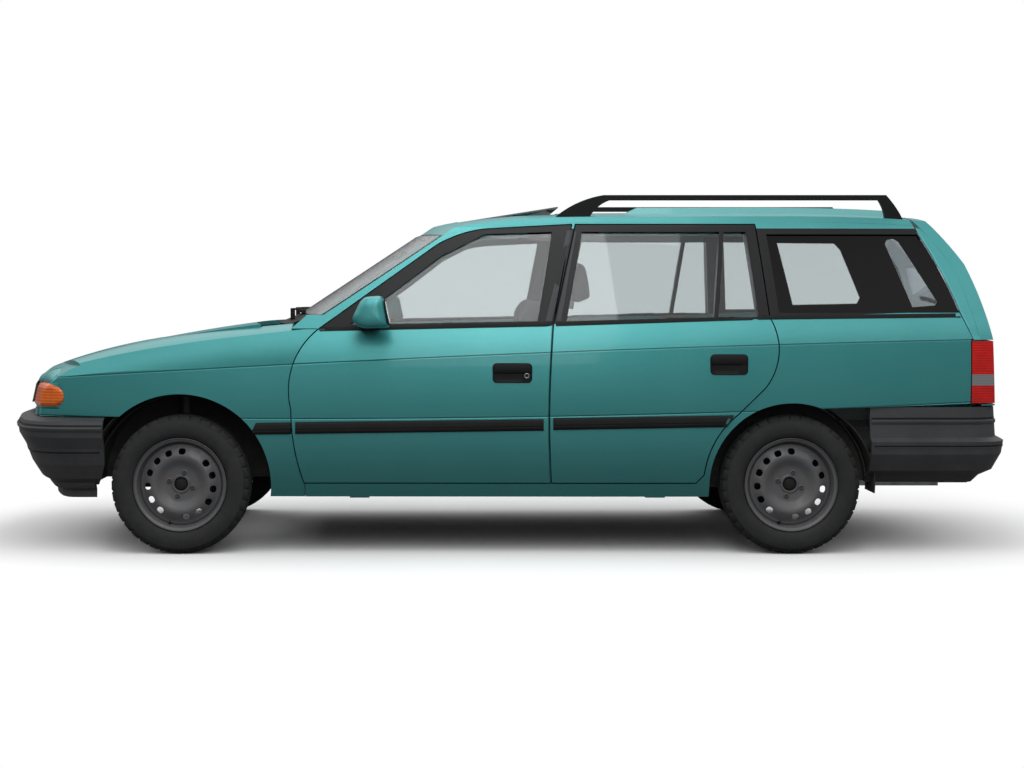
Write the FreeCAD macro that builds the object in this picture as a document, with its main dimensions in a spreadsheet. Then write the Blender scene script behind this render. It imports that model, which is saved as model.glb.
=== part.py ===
import FreeCAD, Part
import math
import os
from types import SimpleNamespace

import Sketcher

Vector = FreeCAD.Vector
Rotation = FreeCAD.Rotation
Placement = FreeCAD.Placement

doc = FreeCAD.newDocument("StationWagon")
sheet = doc.addObject("Spreadsheet::Sheet", "Sizes")


class Size:
    """A length with its formula, so that whatever is built from it follows the sheet."""

    def __init__(self, value, text):
        self.value = value
        self.text = text

    def __add__(self, other):
        other = as_size(other)
        return Size(self.value + other.value, f"({self.text} + {other.text})")

    def __radd__(self, other):
        return as_size(other) + self

    def __sub__(self, other):
        other = as_size(other)
        return Size(self.value - other.value, f"({self.text} - {other.text})")

    def __rsub__(self, other):
        return as_size(other) - self

    def __mul__(self, other):
        other = as_size(other)
        return Size(self.value * other.value, f"({self.text} * {other.text})")

    def __rmul__(self, other):
        return as_size(other) * self

    def __truediv__(self, other):
        other = as_size(other)
        return Size(self.value / other.value, f"({self.text} / {other.text})")

    def __neg__(self):
        return Size(-self.value, f"(-{self.text})")


def as_size(number):
    """Wrap a plain number as a Size and leave a Size as it is."""
    if isinstance(number, Size):
        return number
    return Size(float(number), repr(number))


ZERO = as_size(0)

SIZES = {
    # places along the car, from the middle of its length, tail positive
    "front_axle_y": -1339,
    "rear_axle_y": 1178,
    "bumper_front_y": -2139,
    "bumper_rear_y": 2139,
    "scuttle_y": -980,
    "middle_y": 170,
    "tail_y": 2080,

    # half width at the upper crease and heights of the side's lines
    "scuttle_half": 828,
    "middle_half": 836,
    "rear_half": 830,
    "tail_half": 775,
    "scuttle_low_crease": 555,
    "middle_low_crease": 571,
    "rear_low_crease": 586,
    "tail_low_crease": 600,
    "scuttle_crease": 787,
    "middle_crease": 827,
    "rear_crease": 863,
    "tail_crease": 886,
    "scuttle_belt": 923,
    "middle_belt": 946,
    "rear_belt": 976,
    "tail_belt": 985,
    "sill_bottom": 237,
    "sill_tuck": 52,
    "low_crease_inset": 12,
    "belt_inset": 36,
    "cant_inset": 196,
    "cant_height": 1352,
    "peak_inset": 320,
    "peak_height": 1482,
    "rocker_radius": 1400,
    "door_radius": 1300,
    "shoulder_radius": 420,
    "window_radius": 2600,
    "body_depth": 100,
    "frame_depth": 38,
    "pillar_depth": 42,
    "moving_gap": 6,
    "seam": 0.4,

    # front wing sections
    "wing_half_axle": 819,
    "wing_low_axle": 556,
    "wing_crease_axle": 763,
    "wing_shoulder_x_axle": 788,
    "wing_shoulder_z_axle": 866,
    "wing_top_x_axle": 660,
    "wing_top_z_axle": 899,
    "wing_front_y": -1700,
    "wing_half_front": 787,
    "wing_low_front": 558,
    "wing_crease_front": 744,
    "wing_shoulder_x_front": 755,
    "wing_shoulder_z_front": 800,
    "wing_top_x_front": 628,
    "wing_top_z_front": 829,
    "wing_nose_y": -1975,
    "wing_half_nose": 705,
    "wing_low_nose": 560,
    "wing_crease_nose": 700,
    "wing_shoulder_x_nose": 690,
    "wing_shoulder_z_nose": 722,
    "wing_top_x_nose": 580,
    "wing_top_z_nose": 737,
    "wing_rear_y": -740,
    "wing_half_rear": 829,
    "wing_low_rear": 558,
    "wing_crease_rear": 795,
    "wing_shoulder_x_rear": 794,
    "wing_shoulder_z_rear": 936,
    "wing_top_x_rear": 672,
    "wing_top_z_rear": 962,
    "wing_wall": 18,
    "wing_shoulder_radius": 260,
    "wing_top_radius": 420,

    # roof: edge height at the span's ends, crowned between them
    "roof_y_1": -420,
    "roof_y_2": -150,
    "roof_y_3": 150,
    "roof_y_4": 700,
    "roof_y_5": 1400,
    "roof_y_6": 1860,
    "roof_edge_1": 1286,
    "roof_edge_2": 1353,
    "roof_edge_3": 1379,
    "roof_edge_4": 1385,
    "roof_edge_5": 1383,
    "roof_edge_6": 1356,
    "roof_span": 700,
    "roof_wall": 22,
    "roof_crown_radius": 5000,
    "clear_height": 1600,

    # windscreen
    "screen_base_y": -900,
    "screen_base_z": 985,
    "screen_top_y": -265,
    "screen_top_z": 1405,
    "screen_depth": 9,
    "screen_axis_y": 1300,
    "screen_clearance": 500,
    "sweep_angle": 64,

    # bonnet and nose
    "bonnet_nose_y": -2110,
    "bonnet_nose_z": 696,
    "bonnet_mid_y": -1500,
    "bonnet_mid_z": 880,
    "bonnet_rear_y": -1000,
    "bonnet_rear_z": 957,
    "bonnet_nose_radius": 2000,
    "bonnet_rear_radius": 6500,
    "bonnet_wall": 20,
    "bonnet_axis_y": 2326,
    "nose_low_y": -2085,
    "nose_low_z": 600,
    "nose_edge_y": -2068,
    "nose_edge_z": 680,
    "nose_high_y": -1950,
    "nose_high_z": 775,
    "nose_back_y": -500,
    "nose_lip_radius": 220,
    "nose_axis_y": -385,
    "nose_sweep": 180,

    # tail on the centreline
    "tail_low_y": 2088,
    "tail_low_z": 612,
    "tail_lamp_y": 2080,
    "tail_lamp_z": 885,
    "tail_glass_y": 1975,
    "tail_glass_z": 1195,
    "tail_top_y": 1690,
    "tail_top_z": 1500,
    "tail_waist_radius": 1500,
    "tail_window_radius": 1400,
    "tail_axis_y": -2400,

    # bonnet edge in plan
    "bonnet_half_front": 590,
    "bonnet_corner_front_y": -1975,
    "plan_front_y": -2200,
    "bonnet_half_rear": 690,
    "bonnet_corner_rear_y": -1015,
    "bonnet_back_radius": 3400,

    # doors from the side
    "door_bottom": 296,
    "shut_gap": 5,
    "pillar_gap": 9,
    "panel_gap": 3,
    "door_front_foot_y": -826,
    "pillar_foot_y": 184,
    "pillar_belt_y": 193,
    "pillar_belt_z": 947,
    "pillar_top_y": 292,
    "frame_lean": 10,
    "pillar_line_radius": 4200,
    "door_top_rear": 1362,
    "door_bend_y": -71,
    "door_bend_z": 1343,
    "door_brow_y": -279,
    "door_brow_z": 1276,
    "door_brow_radius": 500,
    "door_front_belt_y": -769,
    "door_front_belt_z": 924,
    "door_nose_y": -877,
    "door_nose_z": 600,
    "door_nose_radius": 320,
    "door_foot_radius": 900,
    "rear_door_foot_y": 784,
    "rear_door_arch_y": 816,
    "rear_door_arch_z": 330,
    "rear_door_hip_y": 957,
    "rear_door_hip_z": 582,
    "rear_door_arch_radius": 367,
    "rear_door_flank_y": 1063,
    "rear_door_flank_z": 687,
    "rear_door_flank_radius": 260,
    "rear_door_back_y": 1118,
    "rear_door_back_z": 866,
    "rear_door_back_radius": 300,
    "rear_door_belt_y": 1086,
    "rear_door_belt_z": 977,
    "rear_door_top_y": 1052,

    # windows from the side
    "window_head": 1332,
    "window_bend_drop": 9,
    "front_window_front_y": -640,
    "front_window_front_z": 946,
    "front_window_rear_y": 134,
    "front_window_rear_z": 960,
    "front_window_head_y": 200,
    "front_window_bend_y": -80,
    "front_window_brow_y": -262,
    "front_window_brow_z": 1232,
    "rear_window_front_y": 253,
    "rear_window_head_y": 326,
    "rear_window_sill": 976,
    "divider_foot_y": 868,
    "divider_head_y": 911,
    "divider_half": 9,
    "rear_light_foot_y": 1042,
    "rear_light_head_y": 1012,
    "quarter_front_y": 1128,
    "quarter_rear_y": 1880,
    "quarter_sill": 994,
    "quarter_head": 1322,
    "quarter_head_rear_y": 1738,
    "quarter_head_front_y": 1098,
    "quarter_rear_radius": 1800,

    # body side frame and wing from the side
    "sill_front_y": -822,
    "sill_rear_y": 838,
    "rear_arch_radius": 338,
    "wheel_z": 286,
    "rear_arch_top_y": 1032,
    "rear_arch_top_z": 591,
    "quarter_low_y": 1917,
    "quarter_low_z": 620,
    "tail_shut_low_y": 1930,
    "tail_shut_low_z": 887,
    "tail_shut_top_y": 1678,
    "tail_shut_top_z": 1482,
    "frame_brow_y": -250,
    "post_front_y": -880,
    "post_foot_z": 930,
    "post_rear_y": -740,
    "sill_step_z": 300,
    "wing_tip_y": -1970,
    "wing_front_low_z": 566,
    "wing_arch_y": -1339,
    "half_reach": 900,

    # roof fittings
    "flange_width": 42,
    "post_inset": 40,
    "hinge_post_y": -962,
    "hinge_post_rear_y": -780,
    "hinge_post_top": 880,
    "lining_front_y": -773,
    "front_arch_radius": 375,
    "wheelhouse_inner": 600,
    "glass_inset": 9,
    "glass_wall": 4,
    "rise_half": 500,
    "rise_front_y": 440,
    "rise_rear_y": 1790,
    "rise_base_z": 1370,
    "rise_crest_z": 1470,
    "rise_slope": 190,
    "rise_height": 24,
    "sunroof_half": 380,
    "sunroof_front_y": -190,
    "sunroof_rear_y": 240,
    "sunroof_front_z": 1376,
    "sunroof_rear_z": 1444,
    "sunroof_wall": 6,

    # roof rails
    "rail_x": 552,
    "rail_half_width": 14,
    "rail_foot_z": 1370,
    "rail_front_y": 188,
    "rail_front_inner_y": 352,
    "rail_front_bend_y": 450,
    "rail_front_top_y": 424,
    "rail_under_z": 1469,
    "rail_rear_bend_y": 1590,
    "rail_rear_inner_y": 1617,
    "rail_rear_y": 1700,
    "rail_rear_top_y": 1621,
    "rail_top_z": 1491,
    "rail_inner_radius": 160,
    "rail_end_radius": 420,

    # lamps, grille and nose panel
    "lamp_bottom": 600,
    "lamp_top": 702,
    "indicator_x": 590,
    "indicator_rear_y": -1850,
    "grille_half": 318,
    "lamp_back_y": -1960,
    "grille_back_y": -2030,
    "grille_floor_y": -2042,
    "grille_rows": 4,
    "grille_slot_height": 14,
    "grille_bar": 7,
    "grille_border": 12,
    "front_panel_half": 560,
    "front_panel_wall": 20,
    "front_panel_low": 356,
    "front_panel_top": 690,
    "radiator_half": 330,
    "radiator_low": 380,
    "radiator_top": 650,
    "strip_half": 640,
    "scuttle_gap": 8,
    "scuttle_drop": 10,
    "scuttle_wall": 12,
    "scuttle_panel_half": 660,

    # bumpers
    "bumper_half": 838,
    "bumper_wall": 24,
    "beam_half": 520,
    "beam_bow": 1800,
    "front_beam_depth": 106,
    "front_beam_low": 462,
    "front_beam_high": 520,
    "rear_beam_depth": 103,
    "rear_beam_low": 430,
    "rear_beam_high": 462,
    "front_bumper_bow": 1900,
    "front_bumper_corner": 235,
    "front_bumper_end_y": -1650,
    "front_bumper_lip": 52,
    "front_bumper_top": 562,
    "bumper_brow": 11,
    "bumper_brow_z": 548,
    "bumper_nose_z": 522,
    "bumper_chest": 5,
    "bumper_chest_z": 483,
    "bumper_step": 33,
    "bumper_step_z": 435,
    "bumper_apron": 59,
    "bumper_apron_z": 366,
    "bumper_chin": 96,
    "bumper_chin_z": 307,
    "bumper_foot": 150,
    "bumper_foot_z": 277,
    "rear_bumper_bow": 3900,
    "rear_bumper_corner": 165,
    "rear_bumper_end_y": 1500,
    "rear_bumper_ledge": 40,
    "rear_bumper_top": 606,
    "rear_bumper_face": 33,
    "rear_bumper_break_z": 482,
    "rear_step_z": 466,
    "rear_step_round": 9,
    "rear_step_low_z": 414,
    "rear_apron": 47,
    "rear_apron_z": 345,
    "rear_chin": 100,
    "rear_chin_z": 320,
    "rear_foot": 130,
    "rear_foot_z": 290,

    # tailgate, its window and the tail lamps
    "tail_far_y": 2300,
    "tailgate_depth": 55,
    "tail_window_low": 1000,
    "tail_window_high": 1350,
    "tail_window_low_half": 590,
    "tail_window_high_half": 500,
    "tail_glass_wall": 5,
    "tail_mass_depth": 300,
    "tail_lamp_x": 570,
    "tail_lamp_front_y": 1922,
    "tail_lamp_low": 622,
    "tail_lamp_high": 878,
    "rear_panel_half": 560,
    "rear_panel_y": 1985,
    "rear_panel_wall": 16,
    "rear_panel_low": 345,
    "rear_panel_top": 604,

    # floor and wheelhouses
    "bulkhead_y": -880,
    "bulkhead_top": 900,
    "toe_z": 420,
    "toe_y": -700,
    "floor_z": 250,
    "floor_wall": 30,
    "heel_y": 760,
    "heel_z": 420,
    "load_front_y": 1000,
    "load_floor_z": 545,
    "tunnel_half": 110,
    "tunnel_height": 90,
    "tunnel_wall": 14,
    "wheelhouse_wall": 5,
    "front_house_radius": 368,
    "front_house_inner": 445,
    "front_house_outer": 660,
    "rear_house_outer": 660,

    # wheels
    "wheel_x": 712,
    "disc_offset": 38,
    "barrel_half": 76,
    "hub_depth": 18,
    "hub_cap": 9,
    "hub_radius": 29,
    "bolt_face_radius": 78,
    "disc_rise": 20,
    "disc_crest_radius": 106,
    "disc_brow_radius": 126,
    "disc_root_radius": 156,
    "disc_wall": 6,
    "seat_radius": 178,
    "rim_wall": 6,
    "rim_radius": 192,
    "flange_width_rim": 12,
    "flange_round": 5,
    "vent_half_low": 12,
    "vent_half_high": 15,
    "vent_radius": 136,
    "vent_half_height": 11,
    "vent_count": 15,
    "tyre_half": 88,
    "bead_rise": 5,
    "tyre_belly_radius": 236,
    "shoulder_inset": 6,
    "shoulder_drop": 14,
    "tread_inset": 18,

    # front suspension, subframe and engine
    "kingpin_x": 590,
    "stub_radius": 20,
    "upright_radius": 24,
    "knuckle_low": 200,
    "knuckle_high": 400,
    "brake_x": 650,
    "brake_wall": 20,
    "brake_radius": 118,
    "ball_radius": 11,
    "strut_top": 640,
    "strut_radius": 20,
    "arm_low": 165,
    "arm_high": 192,
    "arm_root": 30,
    "arm_tip_half": 32,
    "leg_inner": 380,
    "leg_low": 380,
    "leg_high": 470,
    "cross_front": 60,
    "cross_rear": 150,
    "cross_low": 165,
    "cross_high": 225,
    "engine_half": 300,
    "engine_front_y": -1700,
    "engine_rear_y": -1180,
    "engine_high": 700,

    # rear axle and exhaust
    "trailing_x": 540,
    "trailing_wall": 40,
    "beam_y": 850,
    "beam_z": 255,
    "beam_size": 62,
    "exhaust_x": 250,
    "silencer_half": 90,
    "silencer_front_y": 1480,
    "silencer_rear_y": 1900,
    "silencer_low": 236,
    "silencer_high": 370,
    "hanger_half": 8,
    "tail_pipe_z": 262,
    "tail_pipe_end_y": 2050,
    "pipe_radius": 22,

    # cabin
    "seat_x": 350,
    "seat_half": 235,
    "front_seat_front_y": -330,
    "front_seat_rear_y": 160,
    "cushion_height": 250,
    "back_wall": 120,
    "back_lean": 190,
    "seat_top": 1010,
    "rest_half": 125,
    "rest_wall": 90,
    "rest_height": 170,
    "bench_half": 560,
    "rear_seat_front_y": 320,
    "rear_seat_rear_y": 715,
    "dash_front_y": -870,
    "dash_rear_y": -600,
    "dash_low": 640,
    "dash_high": 930,
    "dash_slope_depth": 70,
    "dash_slope_drop": 24,
    "steering_radius": 180,
    "steering_tube": 14,
    "steering_hub_radius": 60,
    "steering_hub_depth": 40,
    "steering_spoke_width": 50,
    "column_radius": 28,
    "column_length": 170,
    "steering_shaft_radius": 10,
    "steering_shaft_length": 260,
    "steering_y": -480,
    "steering_z": 850,
    "mirror_foot_x": 760,
    "mirror_foot_y": -600,
    "mirror_foot_depth": 70,
    "mirror_foot_height": 58,
    # mirror head: depths and heights of its side view, from inside to outside
    "mirror_inner_x": 848,
    "mirror_middle_x": 945,
    "mirror_outer_x": 985,
    "mirror_front_y": -623,
    "mirror_glass_y": -470,
    "mirror_slant": 34,
    "mirror_tilt": 24,
    "mirror_low": 936,
    "mirror_waist": 30,
    "mirror_brow": 20,
    "mirror_high": 1060,
    "mirror_edge": 14,
    "mirror_end_inset": 20,
    # wipers at rest: pivots, arms and blades, seen from above
    "wiper_low": 990,
    "wiper_blade_height": 13,
    "wiper_arm_height": 8,
    "wiper_pivot_radius": 10,
    "wiper_pivot_low": 957,
    "wiper_shift_pivot_low": 969,
    "wiper_blade_width": 12,
    "wiper_arm_width": 16,
    "wiper_span": 440,
    "wiper_start_x": 30,
    "wiper_pivot_x": 490,
    "wiper_pivot_y": -900,
    "wiper_start_y": -897,
    "wiper_middle_y": -882,
    "wiper_end_y": -845,
    "wiper_shift_x": 520,
    "wiper_shift_start_y": -859,
    "wiper_shift_middle_y": -888,
    "wiper_shift_end_y": -897,
    "wiper_shift_pivot_y": -922,
    # jacking pads under the sills
    "jack_front_y": -600,
    "jack_rear_y": 620,
    "jack_inner_x": 700,
    "jack_outer_x": 768,
    "jack_half": 40,
    "jack_low": 231,
    "jack_high": 250,
    # room that the steered tyre sweeps
    "steer_sweep": 364,
}

FULL_TURN = 360
STEERING_TILT = -60
CUBIC_CM = 1000


def fill_sheet():
    """Write every driving size into the sheet and return them by name."""
    sizes = {}
    for row, (name, value) in enumerate(SIZES.items(), start=1):
        sheet.set(f"A{row}", name)
        sheet.set(f"B{row}", str(value))
        sheet.setAlias(f"B{row}", name)
        sizes[name] = Size(value, f"Sizes.{name}")
    doc.recompute()
    return SimpleNamespace(**sizes)


d = fill_sheet()

PLANE_TURN = {
    "plan": Rotation(),
    "front": Rotation(Vector(1, 0, 0), 90),
    "side": Rotation(Vector(1, 1, 1), 120),
}
PLANE_NORMAL = {"plan": Vector(0, 0, 1), "front": Vector(0, -1, 0), "side": Vector(1, 0, 0)}
PLANE_ROLE = {"plan": "XY_Plane", "front": "XZ_Plane", "side": "YZ_Plane"}
PLANE_AXIS = {"plan": "z", "front": "y", "side": "x"}


def add(kind, name):
    """Add an object to the document."""
    return doc.addObject(kind, name)


def bind(target, **properties):
    """Bind properties of an object to sizes."""
    for name, size in properties.items():
        target.setExpression(name, as_size(size).text)


def new_sketch(name, plane, at=ZERO, body=None):
    """Make a sketch on the plan, front or side plane, at a distance along that plane's axis."""
    at = as_size(at)
    if body is None:
        sketch = add("Sketcher::SketchObject", name)
        base = Vector()
        setattr(base, PLANE_AXIS[plane], at.value)
        sketch.Placement = Placement(base, PLANE_TURN[plane])
        sketch.setExpression(f".Placement.Base.{PLANE_AXIS[plane]}", at.text)
        return sketch
    sketch = body.newObject("Sketcher::SketchObject", name)
    origin = [item for item in body.Origin.OriginFeatures if item.Role == PLANE_ROLE[plane]][0]
    sketch.AttachmentSupport = [(origin, "")]
    sketch.MapMode = "FlatFace"
    along = -at if plane == "front" else at
    sketch.AttachmentOffset = Placement(Vector(0, 0, along.value), Rotation())
    sketch.setExpression(".AttachmentOffset.Base.z", along.text)
    return sketch


def arc_between(start, end, radius):
    """Return the short arc from start to end; it turns left where the radius is positive."""
    chord = end - start
    half = chord.Length / 2
    rise = math.sqrt(radius * radius - half * half)
    left = Vector(-chord.y, chord.x, 0).normalize()
    centre = (start + end) / 2 + left * math.copysign(rise, radius)
    circle = Part.Circle(centre, Vector(0, 0, 1), abs(radius))
    from_start = math.atan2(start.y - centre.y, start.x - centre.x)
    to_end = math.atan2(end.y - centre.y, end.x - centre.x)
    if radius > 0:
        return Part.ArcOfCircle(circle, from_start, to_end)
    return Part.ArcOfCircle(circle, to_end, from_start)


def hold(sketch, geometry, point, across, size):
    """Hold one coordinate of a point at a size and bind it."""
    size = as_size(size)
    if size.text == ZERO.text:
        axis = -2 if across == "X" else -1
        sketch.addConstraint(Sketcher.Constraint("PointOnObject", geometry, point, axis))
        return
    if size.value < 0:
        ends = (geometry, point, -1, 1)
        size = -size
    else:
        ends = (-1, 1, geometry, point)
    index = sketch.addConstraint(Sketcher.Constraint(f"Distance{across}", *ends, size.value))
    sketch.setExpression(f"Constraints[{index}]", size.text)


def draw(sketch, corners, arcs=None, closed=True):
    """Draw an outline through corners; arcs gives a side's radius, positive where it turns left."""
    arcs = arcs or {}
    spots = [Vector(as_size(a).value, as_size(b).value, 0) for a, b in corners]
    count = len(corners) if closed else len(corners) - 1
    sides = []
    for side in range(count):
        start = spots[side]
        end = spots[(side + 1) % len(spots)]
        if side in arcs:
            radius = as_size(arcs[side])
            index = sketch.addGeometry(arc_between(start, end, radius.value), False)
            sides.append((index, 1, 2) if radius.value > 0 else (index, 2, 1))
        else:
            index = sketch.addGeometry(Part.LineSegment(start, end), False)
            sides.append((index, 1, 2))
    joined = sides[1:] + sides[:1] if closed else sides[1:]
    for here, after in zip(sides, joined):
        sketch.addConstraint(Sketcher.Constraint("Coincident", here[0], here[2], after[0], after[1]))
    for corner, side in zip(corners, sides):
        hold(sketch, side[0], side[1], "X", corner[0])
        hold(sketch, side[0], side[1], "Y", corner[1])
    if not closed:
        hold(sketch, sides[-1][0], sides[-1][2], "X", corners[-1][0])
        hold(sketch, sides[-1][0], sides[-1][2], "Y", corners[-1][1])
    for side, radius in arcs.items():
        radius = as_size(radius)
        radius = radius if radius.value > 0 else -radius
        index = sketch.addConstraint(Sketcher.Constraint("Radius", sides[side][0], radius.value))
        sketch.setExpression(f"Constraints[{index}]", radius.text)


def draw_circle(sketch, across, up, radius):
    """Draw a circle held at its centre and radius."""
    across, up, radius = as_size(across), as_size(up), as_size(radius)
    circle = Part.Circle(Vector(across.value, up.value, 0), Vector(0, 0, 1), radius.value)
    index = sketch.addGeometry(circle, False)
    hold(sketch, index, 3, "X", across)
    hold(sketch, index, 3, "Y", up)
    bound = sketch.addConstraint(Sketcher.Constraint("Radius", index, radius.value))
    sketch.setExpression(f"Constraints[{bound}]", radius.text)


def outline(name, plane, corners, arcs=None, at=ZERO):
    """Make a free sketch that holds one closed outline."""
    sketch = new_sketch(name, plane, at)
    draw(sketch, corners, arcs)
    return sketch


def rectangle(low_across, low_up, high_across, high_up):
    """Return the four corners of a rectangle, counter-clockwise."""
    return [(low_across, low_up), (high_across, low_up), (high_across, high_up), (low_across, high_up)]


def prism(name, sketch, plane, length):
    """Extrude a sketch along the axis of its plane, towards plus."""
    block = add("Part::Extrusion", name)
    block.Base = sketch
    block.DirMode = "Custom"
    normal = PLANE_NORMAL[plane]
    block.Dir = Vector(abs(normal.x), abs(normal.y), abs(normal.z))
    block.Solid = True
    bind(block, LengthFwd=length)
    return block


def extruded(name, plane, start, end, corners, arcs=None):
    """Extrude a closed outline from start to end along the axis of its plane."""
    start, end = as_size(start), as_size(end)
    sketch = outline(f"{name}_outline", plane, corners, arcs, at=start)
    return prism(name, sketch, plane, end - start)


def revolved(name, sketch, axis_y, angle):
    """Turn a side sketch both ways about an upright axis on the centreline."""
    turn = add("Part::Revolution", name)
    turn.Source = sketch
    turn.Axis = Vector(0, 0, 1)
    turn.Base = Vector(0, as_size(axis_y).value, 0)
    turn.setExpression(".Base.y", as_size(axis_y).text)
    turn.Symmetric = True
    turn.Solid = True
    bind(turn, Angle=angle)
    return turn


def lofted(name, sketches):
    """Loft closed sections into a solid."""
    loft = add("Part::Loft", name)
    loft.Sections = sketches
    loft.Solid = True
    loft.Ruled = False
    return loft


def common(name, *shapes):
    """Keep what all shapes share."""
    result = add("Part::MultiCommon", name)
    result.Shapes = list(shapes)
    return result


def fused(name, *shapes):
    """Join shapes into one."""
    result = add("Part::MultiFuse", name)
    result.Shapes = list(shapes)
    return result


def cut(name, base, *tools):
    """Take tools away from a base, one after another."""
    for number, tool in enumerate(tools, start=1):
        step = add("Part::Cut", name if number == len(tools) else f"{name}_step_{number}")
        step.Base = base
        step.Tool = tool
        base = step
    return base


def mirrored(name, source):
    """Mirror an object across the centreline plane."""
    twin = add("Part::Mirroring", name)
    twin.Source = source
    twin.Normal = Vector(1, 0, 0)
    twin.Base = Vector()
    return twin


def box(name, low, high):
    """Make a box between two opposite corners."""
    block = add("Part::Box", name)
    low = [as_size(part) for part in low]
    high = [as_size(part) for part in high]
    block.Placement = Placement(Vector(low[0].value, low[1].value, low[2].value), Rotation())
    for axis, part in zip("xyz", low):
        block.setExpression(f".Placement.Base.{axis}", part.text)
    bind(block, Length=high[0] - low[0], Width=high[1] - low[1], Height=high[2] - low[2])
    return block


def rod(name, start, axis, length, radius):
    """Make a cylinder from start along +X, +Y or +Z."""
    shaft = add("Part::Cylinder", name)
    start = [as_size(part) for part in start]
    turn = {"x": Rotation(Vector(0, 1, 0), 90), "y": Rotation(Vector(1, 0, 0), -90), "z": Rotation()}
    shaft.Placement = Placement(Vector(start[0].value, start[1].value, start[2].value), turn[axis])
    for letter, part in zip("xyz", start):
        shaft.setExpression(f".Placement.Base.{letter}", part.text)
    bind(shaft, Height=length, Radius=radius)
    return shaft


NODES = {}


def node(name, source):
    """Name a finished piece, which becomes one node of the assembly."""
    source.Label = name
    NODES[name] = source
    return source


# Body side: sections across the car at four stations, from the sill up to the roof.

def side_stations():
    """Give the section heights and half width at the four stations of the cabin."""
    return [
        SimpleNamespace(name="a", y=d.scuttle_y, half=d.scuttle_half, low=d.scuttle_low_crease,
                        crease=d.scuttle_crease, belt=d.scuttle_belt),
        SimpleNamespace(name="b", y=d.middle_y, half=d.middle_half, low=d.middle_low_crease,
                        crease=d.middle_crease, belt=d.middle_belt),
        SimpleNamespace(name="c", y=d.rear_axle_y, half=d.rear_half, low=d.rear_low_crease,
                        crease=d.rear_crease, belt=d.rear_belt),
        SimpleNamespace(name="d", y=d.tail_y, half=d.tail_half, low=d.tail_low_crease,
                        crease=d.tail_crease, belt=d.tail_belt),
    ]


def outer_side(spot):
    """Return the outer corners of a cabin section, from the sill up."""
    return [
        (spot.half - d.sill_tuck, d.sill_bottom),
        (spot.half - d.low_crease_inset, spot.low),
        (spot.half, spot.crease),
        (spot.half - d.belt_inset, spot.belt),
        (spot.half - d.cant_inset, d.cant_height),
        (spot.half - d.peak_inset, d.peak_height),
    ]


def inner_side(spot, extra):
    """Return the inner corners of a cabin section, from the top down."""
    lining = d.body_depth + extra
    frame = d.frame_depth + extra
    return [
        (spot.half - d.peak_inset - frame, d.peak_height),
        (spot.half - d.cant_inset - frame, d.cant_height),
        (spot.half - d.belt_inset - frame, spot.belt),
        (spot.half - lining, spot.belt),
        (spot.half - lining, d.sill_bottom),
    ]


OUTER_ARCS = ["rocker_radius", "door_radius", "shoulder_radius", "window_radius"]


def side_arcs(start=0, sign=1):
    """Return the radii of the curved sides of a section."""
    return {start + step: sign * getattr(d, name) for step, name in enumerate(OUTER_ARCS)}


def skin_sections(tag, make_corners, make_arcs):
    """Make one section sketch for each cabin station."""
    sections = []
    for spot in side_stations():
        sections.append(outline(f"{tag}_section_{spot.name}", "front", make_corners(spot), make_arcs(), spot.y))
    return sections


def side_skin():
    """The body side as thick as a whole door, left side."""
    return lofted("side_skin", skin_sections(
        "side_skin", lambda spot: outer_side(spot) + inner_side(spot, ZERO), side_arcs))


def pillar_skin():
    """The layer just inside the doors, which the middle pillar is cut from."""
    def corners(spot):
        near = list(reversed(inner_side(spot, d.moving_gap)))
        return near + inner_side(spot, d.moving_gap + d.pillar_depth)
    return lofted("pillar_skin", skin_sections("pillar_skin", corners, dict))


def glass_skin(tag, near, far):
    """A thin layer that follows the window surface between two depths."""
    def corners(spot):
        low = spot.half - d.belt_inset
        high = spot.half - d.cant_inset
        return [(low - near, spot.belt), (high - near, d.cant_height),
                (high - far, d.cant_height), (low - far, spot.belt)]
    return lofted(tag, skin_sections(tag, corners, lambda: {0: d.window_radius, 2: -d.window_radius}))


def both_sides(corners):
    """Close left-hand corners, bottom up, into a section of the whole width."""
    return corners + [(-across, up) for across, up in reversed(corners)]


def outer_core():
    """Everything between the outer faces of the two body sides."""
    def arcs():
        return {**side_arcs(), **{10 - step: getattr(d, name) for step, name in enumerate(OUTER_ARCS)}}
    return lofted("outer_core", skin_sections("outer_core", lambda spot: both_sides(outer_side(spot)), arcs))


def inner_core():
    """Everything between the inner faces of the two side frames."""
    return lofted("inner_core", skin_sections(
        "inner_core", lambda spot: both_sides(list(reversed(
            inner_side(spot, d.moving_gap + d.pillar_depth + d.seam)))), dict))


# Front wings: their own sections, which end in the top edge beside the bonnet.

def wing_stations():
    """Give the section of the front wing at four stations."""
    return [
        SimpleNamespace(name="a", y=d.wing_rear_y, half=d.wing_half_rear, low=d.wing_low_rear,
                        crease=d.wing_crease_rear, shoulder=(d.wing_shoulder_x_rear, d.wing_shoulder_z_rear),
                        top=(d.wing_top_x_rear, d.wing_top_z_rear)),
        SimpleNamespace(name="b", y=d.front_axle_y, half=d.wing_half_axle, low=d.wing_low_axle,
                        crease=d.wing_crease_axle, shoulder=(d.wing_shoulder_x_axle, d.wing_shoulder_z_axle),
                        top=(d.wing_top_x_axle, d.wing_top_z_axle)),
        SimpleNamespace(name="c", y=d.wing_front_y, half=d.wing_half_front, low=d.wing_low_front,
                        crease=d.wing_crease_front, shoulder=(d.wing_shoulder_x_front, d.wing_shoulder_z_front),
                        top=(d.wing_top_x_front, d.wing_top_z_front)),
        SimpleNamespace(name="d", y=d.wing_nose_y, half=d.wing_half_nose, low=d.wing_low_nose,
                        crease=d.wing_crease_nose, shoulder=(d.wing_shoulder_x_nose, d.wing_shoulder_z_nose),
                        top=(d.wing_top_x_nose, d.wing_top_z_nose)),
    ]


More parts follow.
